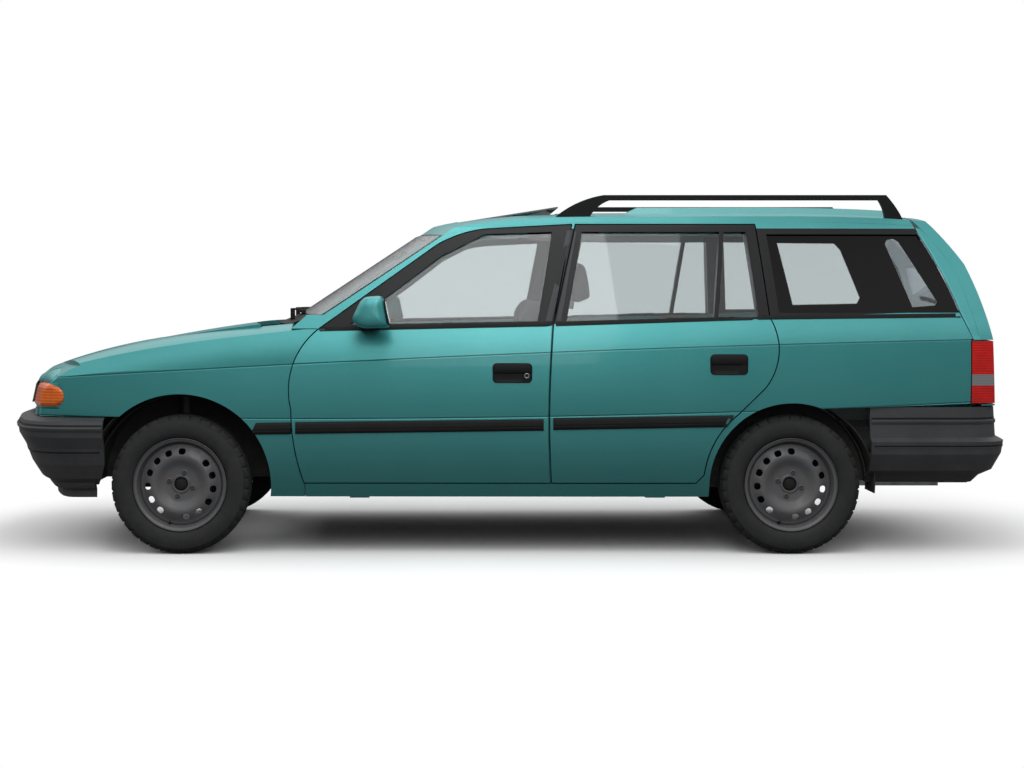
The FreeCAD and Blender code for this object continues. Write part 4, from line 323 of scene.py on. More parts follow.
@dataclass(frozen=True)
class CarPaint(Finish):
    """Creased metallic paint under lacquer, with painted shade low down and along the creases, and black
    above a line where the doors have frames.

    A crease is the height, slope and bow of its line along the car.
    """

    colour: Colour = linear(58, 146, 147)
    light: Colour = linear(128, 214, 214)
    frame: Colour = linear(20, 21, 23)
    black_from: float = 9.0
    black_slope: float = 0.0
    black_to: float = 9.0
    black_front: float = -9.0
    black_post: Flat = (9.0, 9.0)
    creases: tuple[Point, ...] = ()
    crease_half: float = 0.0042
    # Painted shade along the creases: the paint darkens towards this colour on each crease line.
    crease_colour: Colour = linear(14, 34, 34)
    dust: Colour = linear(92, 98, 96)
    # Painted shade low down: between these heights the paint darkens towards the colour below, most at the
    # lower one.
    film: Flat = (0.24, 0.72)
    film_colour: Colour = linear(16, 38, 38)

    def near_crease(self, graph: Graph, parts: Sequence[Socket], height: float, slope: float,
                    bow: float) -> Socket:
        """Return 1 on a crease's line, falling to 0 beside it."""
        rise = graph.maths("MULTIPLY_ADD", parts[1], bow, slope)
        line = graph.maths("MULTIPLY_ADD", parts[1], rise, height)
        apart = graph.maths("ABSOLUTE", graph.maths("SUBTRACT", parts[2], line))
        return graph.between(apart, 0.0, self.crease_half, 1.0, 0.0)

    def zone(self, graph: Graph, parts: Sequence[Socket]) -> Socket:
        """Return 1 where the sheet is black: above the line, behind the front of it or on the post."""
        line = graph.maths("MULTIPLY_ADD", parts[1], self.black_slope, self.black_from)
        above = graph.maths("GREATER_THAN", parts[2], line)
        below = graph.maths("LESS_THAN", parts[2], self.black_to)
        behind = graph.maths("GREATER_THAN", parts[1], self.black_front)
        post = graph.maths("MULTIPLY", graph.maths("GREATER_THAN", parts[1], self.black_post[0]),
                           graph.maths("LESS_THAN", parts[1], self.black_post[1]))
        return graph.maths("MULTIPLY", graph.maths("MULTIPLY", above, below),
                           graph.maths("MAXIMUM", behind, post))

    def wire(self, graph: Graph, shader: bpy.types.Node) -> None:
        """Flakes, road dust low down, painted shade that darkens the sides towards the bottom, creases with
        painted shade along them, and the black frame zone.
        """
        parts = graph.parts()
        flaked = graph.group(EFFECTS.flakes, Colour=self.colour, Light=self.light, Scale=2600.0)
        dusty = graph.group(EFFECTS.dust, Colour=flaked.outputs[0], Dust=self.dust, Amount=0.25, Reach=0.62)
        # Painted shade: the paint darkens towards a dark teal below the upper height, up to 0.42 of the way.
        film = graph.between(parts[2], *self.film, 0.42, 0.0)
        colour = graph.mix(film, dusty.outputs["Colour"], self.film_colour)
        depth = graph.add("Value").outputs[0]
        depth.default_value = 0.0
        for crease in self.creases:
            depth = graph.maths("MAXIMUM", depth, self.near_crease(graph, parts, *crease))
        # Painted shade: the paint darkens along each crease line, on top of the crease's bump.
        colour = graph.mix(graph.maths("MULTIPLY", depth, 0.6), colour, self.crease_colour)
        zone = self.zone(graph, parts)
        bare = graph.maths("SUBTRACT", 1.0, zone)
        graph.put(shader, Base_Color=graph.mix(zone, colour, self.frame),
                  Metallic=graph.maths("MULTIPLY", bare, self.metallic),
                  Specular_IOR_Level=graph.maths("MULTIPLY_ADD", bare, 0.3, 0.2),
                  Coat_Weight=graph.maths("MULTIPLY_ADD", bare, 0.8 * self.coat, 0.2 * self.coat),
                  Roughness=graph.maths("MULTIPLY_ADD", dusty.outputs["Mask"], 0.4, self.roughness))
        height = graph.maths("MULTIPLY_ADD", graph.noise(240.0, 1.0), 0.012,
                             graph.maths("MULTIPLY", depth, -1.0))
        self.bump(graph, shader, height, 0.9, 0.0022)


@dataclass(frozen=True)
class Grained(Finish):
    """Moulded plastic, rubber or cast metal with a grain, lighter where it is rubbed."""

    colour: Colour = linear(44, 45, 48)
    worn: Colour = linear(78, 80, 83)
    dust: Colour = linear(120, 116, 108)
    dusty: float = 0.25
    grain: float = 700.0
    depth: float = 0.35
    shine: float = 0.5

    def wire(self, graph: Graph, shader: bpy.types.Node) -> None:
        """Grain, faded patches and dust low down."""
        cloud = graph.noise(6.0, 5.0, 0.6)
        faded = graph.mix(graph.between(cloud, 0.35, 0.75, 0.0, 0.5), self.colour, self.worn)
        dusty = graph.group(EFFECTS.dust, Colour=faded, Dust=self.dust, Amount=self.dusty, Reach=0.7)
        graph.put(shader, Base_Color=dusty.outputs["Colour"], Specular_IOR_Level=self.shine,
                  Roughness=graph.between(cloud, 0.3, 0.8, self.roughness, self.roughness + 0.12))
        self.grained(graph, shader, self.grain, self.depth, 0.0006)


@dataclass(frozen=True)
class Glazing(Finish):
    """Window glass, all clear or, seen from outside, black round its clear panes as painted shade of the dark
    cabin behind it.

    Each pane is a convex outline, clockwise, in metres along and up the car's side.
    """

    tint: Colour = (0.67, 0.715, 0.72)
    # Painted shade of the cabin behind the glass, shown round the panes from outside.
    printed: Colour = linear(8, 8, 9)
    film: Colour = (0.62, 0.66, 0.67)
    panes: tuple[Line, ...] = ()
    soft: float = 0.0015
    index: float = 1.45

    def inside(self, graph: Graph, parts: Sequence[Socket], pane: Sequence[Flat]) -> Socket:
        """Return 1 inside a pane and 0 outside it."""
        share = None
        for (start_y, start_z), (end_y, end_z) in zip(pane, (*pane[1:], pane[0])):
            length = math.hypot(end_y - start_y, end_z - start_z)
            across, up = (end_z - start_z) / length, (start_y - end_y) / length
            reach = graph.maths("MULTIPLY_ADD", parts[1], across, -(start_y * across + start_z * up))
            edge = graph.between(graph.maths("MULTIPLY_ADD", parts[2], up, reach), -self.soft, self.soft)
            share = edge if share is None else graph.maths("MULTIPLY", share, edge)
        return share

    def wire(self, graph: Graph, shader: bpy.types.Node) -> None:
        """Glass with a thin film of dust, and the painted shade round its panes."""
        parts = graph.parts()
        clear: object = 1.0
        # Seen from outside, the glass turns black outside its panes: painted shade of the cabin behind it.
        if self.panes:
            facing = graph.add("SeparateXYZ", Vector=graph.add("NewGeometry").outputs["Normal"]).outputs[0]
            clear = graph.maths("LESS_THAN", graph.maths("MULTIPLY", facing, parts[0]), 0.0)
        for pane in self.panes:
            clear = graph.maths("MAXIMUM", clear, self.inside(graph, parts, pane))
        dusty = graph.mix(graph.between(graph.noise(5.0, 4.0), 0.3, 0.8, 0.0, 0.12), self.tint, self.film)
        graph.put(shader, IOR=self.index, Transmission_Weight=clear,
                  Base_Color=graph.mix(clear, self.printed, dusty),
                  Specular_IOR_Level=graph.maths("MULTIPLY_ADD", clear, 0.32, 0.18))


@dataclass(frozen=True)
class Cloth(Finish):
    """Seat cloth with a weave and soft colour patches."""

    colour: Colour = linear(52, 55, 60)
    light: Colour = linear(92, 97, 104)
    weave: float = 260.0
    sheen: float = 0.3

    def wire(self, graph: Graph, shader: bpy.types.Node) -> None:
        """Weave, fuzz and soft patches."""
        threads = graph.group(EFFECTS.weave, Scale=self.weave)
        patches = graph.between(graph.noise(14.0, 4.0), 0.4, 0.7, 0.0, 0.3)
        share = graph.maths("MULTIPLY_ADD", threads.outputs["Mask"], 0.8, patches)
        graph.put(shader, Base_Color=graph.mix(share, self.colour, self.light), Sheen_Weight=self.sheen)
        self.bump(graph, shader, threads.outputs["Height"], 0.5, 0.0012)


@dataclass(frozen=True)
class Lens(Finish):
    """A coloured lamp lens with moulded ribs, and a plain band between two heights."""

    colour: Colour = linear(193, 93, 44)
    ribs: float = 26.0
    axis: str = "Z"
    clear: float = 0.0
    band: Flat = (9.0, 9.0)
    band_colour: Colour = linear(128, 130, 132)

    def wire(self, graph: Graph, shader: bpy.types.Node) -> None:
        """Ribbed plastic, with its band."""
        wave = graph.add("TexWave", Vector=graph.spot(), Scale=self.ribs)
        wave.bands_direction = self.axis
        deep = tuple(0.45 * part for part in self.colour)
        patches = graph.between(graph.noise(26.0, 3.0), 0.3, 0.7, 0.15, 0.45)
        ribbed = graph.mix(graph.maths("MULTIPLY_ADD", wave.outputs["Fac"], 0.55, patches), deep, self.colour)
        height = graph.parts()[2]
        within = graph.maths("MULTIPLY", graph.maths("GREATER_THAN", height, self.band[0]),
                             graph.maths("LESS_THAN", height, self.band[1]))
        graph.put(shader, Base_Color=graph.mix(within, ribbed, self.band_colour),
                  Transmission_Weight=self.clear)
        self.bump(graph, shader, wave.outputs["Fac"], 0.35, 0.0012)


@dataclass(frozen=True)
class Metal(Finish):
    """Bare or enamelled metal with a faint cast grain and stains."""

    colour: Colour = linear(150, 152, 155)
    stain: Colour = linear(92, 78, 64)
    stained: float = 0.3
    dust: Colour = linear(112, 106, 98)
    grain: float = 320.0

    def wire(self, graph: Graph, shader: bpy.types.Node) -> None:
        """Stains, dust and a faint cast surface."""
        cloud = graph.noise(18.0, 6.0, 0.62)
        share = graph.maths("MULTIPLY", graph.between(cloud, 0.45, 0.72), self.stained)
        dusty = graph.group(EFFECTS.dust, Colour=graph.mix(share, self.colour, self.stain),
                            Dust=self.dust, Amount=0.3, Reach=0.6)
        graph.put(shader, Base_Color=dusty.outputs["Colour"],
                  Roughness=graph.between(cloud, 0.25, 0.8, self.roughness, self.roughness + 0.22))
        self.grained(graph, shader, self.grain, 0.15, 0.0005)


@dataclass(frozen=True)
class Tread(Finish):
    """Faded tyre rubber with dust in patches."""

    colour: Colour = linear(26, 27, 28)
    dust: Colour = linear(58, 58, 57)
    grain: float = 900.0

    def wire(self, graph: Graph, shader: bpy.types.Node) -> None:
        """Rubber, dust and a fine grain."""
        cloud = graph.noise(22.0, 6.0, 0.7)
        graph.put(shader,
                  Base_Color=graph.mix(graph.between(cloud, 0.35, 0.8, 0.0, 0.55), self.colour, self.dust),
                  Roughness=graph.between(cloud, 0.2, 0.8, self.roughness - 0.08, self.roughness + 0.1))
        self.grained(graph, shader, self.grain, 0.3, 0.0005)


CREASES: tuple[Point, ...] = ((0.8239, 0.0416, -0.0057), (0.5660, 0.0148, 0.0086))
# Panes of the quarter window that stay clear; the rest of it shows painted shade from outside.
QUARTER_PANES: tuple[Line, ...] = (
    ((1.142, 1.284), (1.381, 1.282), (1.404, 1.255), (1.468, 1.055), (1.454, 1.032), (1.188, 1.027)),
    ((1.598, 1.280), (1.606, 1.296), (1.633, 1.303), (1.654, 1.290), (1.790, 1.040), (1.782, 1.025),
     (1.687, 1.018)),
)
FINISHES: dict[Shade, Finish] = {
    Shade.PAINT: CarPaint("body_paint", 0.4, 0.6, 0.3),
    Shade.SIDE_PAINT: CarPaint("body_paint", 0.4, 0.6, 0.3, black_from=0.9406, black_slope=0.0322,
                               black_to=1.347, black_front=1.0, black_post=(0.1, 0.4), creases=CREASES),
    Shade.DOOR_PAINT: CarPaint("body_paint", 0.4, 0.6, 0.3, black_from=0.943, black_slope=0.0243,
                               creases=CREASES),
    Shade.UNDERSIDE: Grained("dark_plastic", 0.8, colour=linear(38, 40, 40), worn=linear(60, 60, 58),
                             dusty=0.6, grain=260.0),
    Shade.PLASTIC: Grained("dark_plastic", 0.56, colour=linear(49, 50, 53), worn=linear(66, 68, 71),
                           depth=0.3),
    Shade.RUBBER: Grained("dark_plastic", 0.6, colour=linear(13, 14, 15), worn=linear(24, 25, 27), dusty=0.15,
                          grain=900.0, shine=0.25),
    Shade.GLASS: Glazing("glass", 0.02),
    Shade.DARK_GLASS: Glazing("glass", 0.03, tint=(0.30, 0.34, 0.37)),
    Shade.QUARTER_GLASS: Glazing("glass", 0.03, panes=QUARTER_PANES),
    Shade.WHEEL: Metal("wheel_paint", 0.42, 0.1, 0.15, colour=linear(84, 85, 88), stain=linear(84, 80, 74),
                       stained=0.5),
    Shade.TYRE: Tread("tyre", 0.8),
    Shade.STEEL: Metal("steel", 0.32, 0.9, colour=linear(168, 170, 172)),
    Shade.IRON: Metal("iron", 0.62, 0.6, colour=linear(70, 70, 72), stain=linear(96, 66, 44), stained=0.6),
    Shade.CLOTH: Cloth("cloth", 0.9),
    Shade.TRIM: Grained("cloth", 0.66, colour=linear(58, 61, 66), worn=linear(72, 76, 81), dusty=0.05,
                        grain=500.0),
    Shade.AMBER: Lens("lens_amber", 0.25, coat=0.25, colour=linear(255, 118, 34)),
    Shade.RED: Lens("lens_red", 0.25, coat=0.25, colour=linear(226, 18, 8), ribs=30.0, band=(0.695, 0.741)),
    Shade.SMOKE: Glazing("glass", 0.03, tint=(0.04, 0.045, 0.05)),
    Shade.CLEAR: Lens("glass", 0.05, coat=0.5, colour=linear(226, 230, 232), ribs=18.0, axis="X", clear=0.9),
    Shade.REFLECTOR: Metal("steel", 0.08, 1.0, colour=linear(226, 228, 230), stained=0.02),
    Shade.PLATE: Grained("dark_plastic", 0.4, colour=linear(222, 222, 216), worn=linear(206, 206, 198),
                         dusty=0.2, grain=400.0, depth=0.05),
    Shade.MIRROR: Metal("steel", 0.02, 1.0, colour=linear(214, 220, 224), stained=0.0),
}
MATERIALS = {shade: finish.build(shade.value) for shade, finish in FINISHES.items()}
DRESSED: dict[Shade, str] = {
    Shade.PAINT: "roof_panel bonnet front_panel rear_panel door_mirror tailgate",
    Shade.SIDE_PAINT: "front_wing side_frame",
    Shade.DOOR_PAINT: "front_door rear_door",
    Shade.RUBBER: "scuttle_panel roof_rails steering_wheel wipers",
    Shade.SMOKE: "sunroof_panel",
    Shade.GLASS: "front_door_glass rear_door_glass windscreen",
    Shade.QUARTER_GLASS: "quarter_window",
    Shade.DARK_GLASS: "tailgate_glass",
    Shade.CLEAR: "head_lamps",
    Shade.AMBER: "indicators",
    Shade.RED: "tail_lamps",
    Shade.PLASTIC: "grille front_bumper rear_bumper",
    Shade.UNDERSIDE: "floor_pan front_wheelhouses rear_wheelhouses front_subframe rear_axle",
    Shade.WHEEL: "front_rim rear_rim",
    Shade.TYRE: "front_tyre rear_tyre",
    Shade.IRON: "knuckle engine",
    Shade.STEEL: "exhaust",
    Shade.CLOTH: "front_seats rear_seat",
    Shade.TRIM: "dashboard",
}
NODE_SHADES = {node: shade for shade, nodes in DRESSED.items() for node in nodes.split()}


def dress_nodes() -> None:
    """Give every CAD node its finish, the same on both sides of the car."""
    for name, node in NODES.items():
        shade = NODE_SHADES[name.removesuffix("_left").removesuffix("_right")]
        node.data.materials.clear()
        node.data.materials.append(MATERIALS[shade])
        LOG.info("dressed %s in %s", name, shade.value)


@dataclass
class Stage:
    """The floor, the light and the camera at the photograph's viewing angle."""

    eye: Point = (8.3, -0.206, 1.08)
    focal_px: float = 1825.0
    frame_px: Flat = (1024.0, 768.0)
    centre_px: Flat = (455.0, 292.0)
    sensor: float = 36.0
    floor_half: float = 40.0
    fade: Flat = (2.2, 3.6)
    fade_scale: Flat = (1.25, 0.62)
    bounce: Colour = (0.12, 0.12, 0.12)
    pale: Colour = (0.98, 0.98, 0.98)
    mirrored: float = 0.1
    lamps: tuple[tuple[str, Point, Point, Flat, float], ...] = (
        ("overhead", (0.4, 0.0, 5.0), (0.0, 0.0, 0.6), (2.6, 6.0), 60.0),
        ("high_side", (4.8, 0.0, 3.9), (0.8, 0.0, 0.8), (1.6, 8.0), 85.0),
    )

    def ray(self, pixel: Sequence[float]) -> Vector:
        """Return the direction in which the camera sees a pixel of the photograph."""
        return Vector((-1.0, (pixel[0] - self.centre_px[0]) / self.focal_px,
                       (self.centre_px[1] - pixel[1]) / self.focal_px))

    def camera(self) -> None:
        """Place the camera level, with the shift that the framing needs."""
        data = bpy.data.cameras.new("camera")
        wide, high = self.frame_px
        data.sensor_width = self.sensor
        data.lens = self.focal_px / wide * self.sensor
        data.shift_x = (wide / 2 - self.centre_px[0]) / wide
        data.shift_y = (self.centre_px[1] - high / 2) / wide
        camera = bpy.data.objects.new("camera", data)
        camera.location = self.eye
        camera.rotation_euler = (math.radians(90), 0, math.radians(90))
        COLLECTION.objects.link(camera)
        bpy.context.scene.camera = camera

    def seen(self, graph: Graph) -> Socket:
        """Return 1 where the camera looks or looks through glass, and a part of it in reflections."""
        path = graph.add("LightPath").outputs
        straight = graph.maths("MAXIMUM", path["Is Camera Ray"], path["Is Transmission Ray"])
        return graph.maths("MAXIMUM", straight, graph.maths("MULTIPLY", path["Is Glossy Ray"], self.mirrored))

    def floor(self) -> None:
        """Lay a pale floor that keeps the shadow and turns white further out."""
        mesh = bpy.data.meshes.new("floor")
        half = self.floor_half
        mesh.from_pydata([(-half, -half, 0), (half, -half, 0), (half, half, 0), (-half, half, 0)], [],
                         [(0, 1, 2, 3)])
        floor = bpy.data.objects.new("floor", mesh)
        COLLECTION.objects.link(floor)
        material = bpy.data.materials.new("pale_floor")
        material.use_nodes = True
        graph = Graph(material.node_tree)
        seen = self.seen(graph)
        matt = graph.add("BsdfDiffuse", Color=graph.mix(seen, self.bounce, self.pale))
        white = graph.add("Emission", Color=WHITE, Strength=1.0)
        parts = graph.parts()
        squares = []
        for part, scale in zip(parts[:2], self.fade_scale):
            run = graph.maths("MULTIPLY", part, scale)
            squares.append(graph.maths("MULTIPLY", run, run))
        far = graph.maths("SQRT", graph.maths("ADD", *squares))
        shader = graph.add("MixShader", Fac=graph.maths("MULTIPLY", graph.between(far, *self.fade), seen))
        graph.feed(shader.inputs[1], matt.outputs[0])
        graph.feed(shader.inputs[2], white.outputs[0])
        graph.add("OutputMaterial", Surface=shader.outputs[0])
        mesh.materials.append(material)

    def world(self) -> None:
        """A soft sky: brighter above than at its edge, and white where it is seen."""
        world = bpy.data.worlds.new("studio")
        bpy.context.scene.world = world
        world.use_nodes = True
        graph = Graph(world.node_tree)
        up = graph.add("SeparateXYZ", Vector=graph.add("TexCoord").outputs["Generated"]).outputs[2]
        level = graph.maths("MULTIPLY", graph.between(up, 0.03, 0.62, 0.0, 1.35),
                            graph.between(up, 0.6, 1.0, 1.0, 0.5))
        strength = graph.add("MapRange", Value=self.seen(graph), To_Min=level, To_Max=1.0)
        sky = graph.add("Background", Color=WHITE, Strength=strength.outputs[0])
        graph.add("OutputWorld", Surface=sky.outputs[0])

    def lamp(self, name: str, place: Point, aim: Point, size: Flat, watts: float) -> None:
        """Hang one soft light.

        Args:
            name: The light's name.
            place: Where it hangs, in metres.
            aim: The point that it faces.
            size: Its width and height, in metres.
            watts: Its power.
        """
        data = bpy.data.lights.new(name, "AREA")
        data.shape = "RECTANGLE"
        data.size, data.size_y = size
        data.energy = watts
        light = bpy.data.objects.new(name, data)
        light.location = place
        light.rotation_euler = (Vector(aim) - Vector(place)).to_track_quat("-Z", "Y").to_euler()
        COLLECTION.objects.link(light)

    def build(self) -> None:
        """Set the whole stage."""
        bpy.context.scene.view_settings.view_transform = "Standard"
        self.camera()
        self.floor()
        self.world()
        for lamp in self.lamps:
            self.lamp(*lamp)
        LOG.info("stage set")


STAGE = Stage()


BEVEL_FROM = math.radians(35)
SHARP_FROM = math.radians(38)
FRONT_AXLE = -1.339
REAR_AXLE = 1.178
AXLE_UP = 0.286


def modify(piece: bpy.types.Object, name: str, kind: str, **values: object) -> bpy.types.Modifier:
    """Give a piece a modifier with these settings, and return it."""
    modifier = piece.modifiers.new(name, kind)
    for setting, value in values.items():
        setattr(modifier, setting, value)
    return modifier


def make_piece(name: str, mesh: Mesh, shade: Shade, body: str, smooth: bool = True, bevel: float = 0.0,
               subdivide: int = 0, sheet: float = 0.0, flip: bool = False) -> bpy.types.Object:
    """Turn a mesh into a piece that rides on a body.

    Args:
        name: The piece's name.
        mesh: The mesh, which is freed.
        shade: Its finish.
        body: The CAD body that it moves with.
        smooth: Whether faces are shaded smoothly, except at sharp edges.
        bevel: Width of its rounded edges, in metres.
        subdivide: Levels of subdivision.
        sheet: Thickness given to a single surface, in metres.
        flip: Whether to mirror it to the right-hand side.

    Returns:
        The new object.
    """
    if flip:
        bmesh.ops.scale(mesh, vec=(-1, 1, 1), verts=mesh.verts)
    bmesh.ops.recalc_face_normals(mesh, faces=mesh.faces)
    data = bpy.data.meshes.new(name)
    mesh.to_mesh(data)
    mesh.free()
    data.materials.append(MATERIALS[shade])
    piece = bpy.data.objects.new(name, data)
    COLLECTION.objects.link(piece)
    if bevel:
        modify(piece, "rounding", "BEVEL", width=bevel, segments=2, limit_method="ANGLE",
               angle_limit=BEVEL_FROM)
    if subdivide:
        modify(piece, "finer", "SUBSURF", levels=subdivide, render_levels=subdivide)
    if sheet:
        modify(piece, "sheet", "SOLIDIFY", thickness=sheet, offset=-1.0)
    if smooth:
        data.polygons.foreach_set("use_smooth", [True] * len(data.polygons))
        if not subdivide:
            data.set_sharp_from_angle(angle=SHARP_FROM)
    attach(piece, body)
    LOG.info("made %s on %s", name, body)
    return piece


def make_pair(name: str, mesh: Mesh, shade: Shade, body: str, **how: float) -> list[bpy.types.Object]:
    """Make a piece on the left-hand side of the car and its mirror image on the right.

    Args:
        name: The piece's name, to which the side's is added.
        mesh: The left-hand mesh, which is freed.
        shade: Their finish.
        body: The left-hand CAD body, or one that both ride.
        how: What else make_piece takes.

    Returns:
        The left-hand piece and the right-hand one.
    """
    pieces = [make_piece(f"{name}_{side.word}", mesh.copy(), shade, body.replace("left", side.word),
                         flip=side is Side.RIGHT, **how) for side in Side]
    mesh.free()
    return pieces


def grid_mesh(rows: Sequence[Sequence[Point]], round_rows: bool = False, round_columns: bool = False,
              ends: bool = False) -> Mesh:
    """Make faces between rows of points.

    Args:
        rows: Rows of equal length.
        round_rows: Whether each row's last point joins its first.
        round_columns: Whether the last row joins the first.
        ends: Whether to close the first and the last row with a face.

    Returns:
        The mesh.
    """
    mesh = bmesh.new()
    points = [[mesh.verts.new(point) for point in row] for row in rows]
    width = len(points[0])
    for index in range(len(points) - (not round_columns)):
        row, after = points[index], points[(index + 1) % len(points)]
        for step in range(width - (not round_rows)):
            onward = (step + 1) % width
            mesh.faces.new((row[step], row[onward], after[onward], after[step]))
    if ends:
        mesh.faces.new(reversed(points[0]))
        mesh.faces.new(points[-1])
    return mesh


def tube(rows: Sequence[Sequence[Point]]) -> Mesh:
    """Join closed rows of points, with a face at each end."""
    return grid_mesh(rows, round_rows=True, ends=True)


def block(low: Point, high: Point, taper: float = 1.0) -> Mesh:
    """Make a box whose top may be narrower than its foot.

    Args:
        low: Lowest corner.
        high: Highest corner.
        taper: Share of the foot's size that the top keeps.

    Returns:
        The mesh.
    """
    middle = [(low[0] + high[0]) / 2, (low[1] + high[1]) / 2]
    half = [(high[0] - low[0]) / 2, (high[1] - low[1]) / 2]
    rows = []
    for up, share in ((low[2], 1.0), (high[2], taper)):
        rows.append([(middle[0] + across * half[0] * share, middle[1] + along * half[1] * share, up)
                     for across, along in ((-1, -1), (1, -1), (1, 1), (-1, 1))])
    return tube(rows)


def turned(profile: Sequence[Flat], centre: Point, axis: Vector, steps: int = 48) -> Mesh:
    """Turn a profile of (distance along the axis, radius) about an axis.

    Args:
        profile: The points to turn.
        centre: A point on the axis.
        axis: Direction of the axis.
        steps: Number of faces round it.

    Returns:
        The mesh, closed at each end.
    """
    frame_axes = axis.to_track_quat("Z", "Y").to_matrix()
    rows = []
    for along, radius in profile:
        row = []
        for step in range(steps):
            angle = math.tau * step / steps
            spot = frame_axes @ Vector((radius * math.cos(angle), radius * math.sin(angle), along))
            row.append(tuple(Vector(centre) + spot))
        rows.append(row)
    return tube(rows)


def curved(points: Sequence[Sequence[float]], steps: int = 8) -> list[Vector]:
    """Run a smooth curve through points.

    Args:
        points: The points, two or more.
        steps: Number of parts between neighbours.

    Returns:
        The curve's points.
    """
    places = [Vector(point) for point in points]
    places = [places[0] * 2 - places[1]] + places + [places[-1] * 2 - places[-2]]
    result = []
    for index in range(1, len(places) - 2):
        before, start, end, after = places[index - 1:index + 3]
        for number in range(steps):
            part = number / steps
            result.append(0.5 * (2 * start + (end - before) * part
                                 + (2 * before - 5 * start + 4 * end - after) * part ** 2
                                 + (3 * start - before - 3 * end + after) * part ** 3))
    result.append(places[-2])
    return result


class Skin:
    """Finds points on the outside of chosen CAD nodes."""

    def __init__(self, *nodes: str) -> None:
        """Gather the nodes' faces."""
        verts: list[Vector] = []
        faces: list[tuple[int, ...]] = []
        for node in nodes:
            shape = NODES[node]
            base = len(verts)
            verts += [shape.matrix_world @ vert.co for vert in shape.data.vertices]
            faces += [tuple(base + index for index in face.vertices) for face in shape.data.polygons]
        self.tree = BVHTree.FromPolygons(verts, faces)

    def cast(self, start: Sequence[float], way: Sequence[float]) -> Hit | None:
        """Return the first point that a ray meets and the outward normal there."""
        spot, normal, _, _ = self.tree.ray_cast(Vector(start), Vector(way))
        if spot is None:
            return None
        return spot, normal if normal.dot(Vector(way)) < 0 else -normal

    def seen(self, pixel: Sequence[float]) -> Hit | None:
        """Return the point that a pixel of the photograph shows."""
        return self.cast(STAGE.eye, STAGE.ray(pixel))


DRUM: Line = ((-0.040, 0.02), (-0.040, 0.112), (-0.004, 0.113), (0.002, 0.108), (0.020, 0.100), (0.024, 0.05),
              (0.024, 0.02))
DUST_CAP: Line = ((0.020, 0.012), (0.022, 0.0255), (0.033, 0.025), (0.037, 0.019), (0.038, 0.004))
BOLT_SEAT: Line = ((0.036, 0.011), (0.0395, 0.0115), (0.0405, 0.0095), (0.0405, 0.004))
BOLT: Line = ((0.040, 0.0088), (0.0475, 0.0088), (0.0490, 0.0076), (0.0480, 0.0040), (0.0470, 0.002))
VALVE: Line = ((-0.004, 0.004), (0.0, 0.0065), (0.006, 0.0045), (0.020, 0.0038), (0.021, 0.0048),
               (0.029, 0.0048), (0.030, 0.0035))


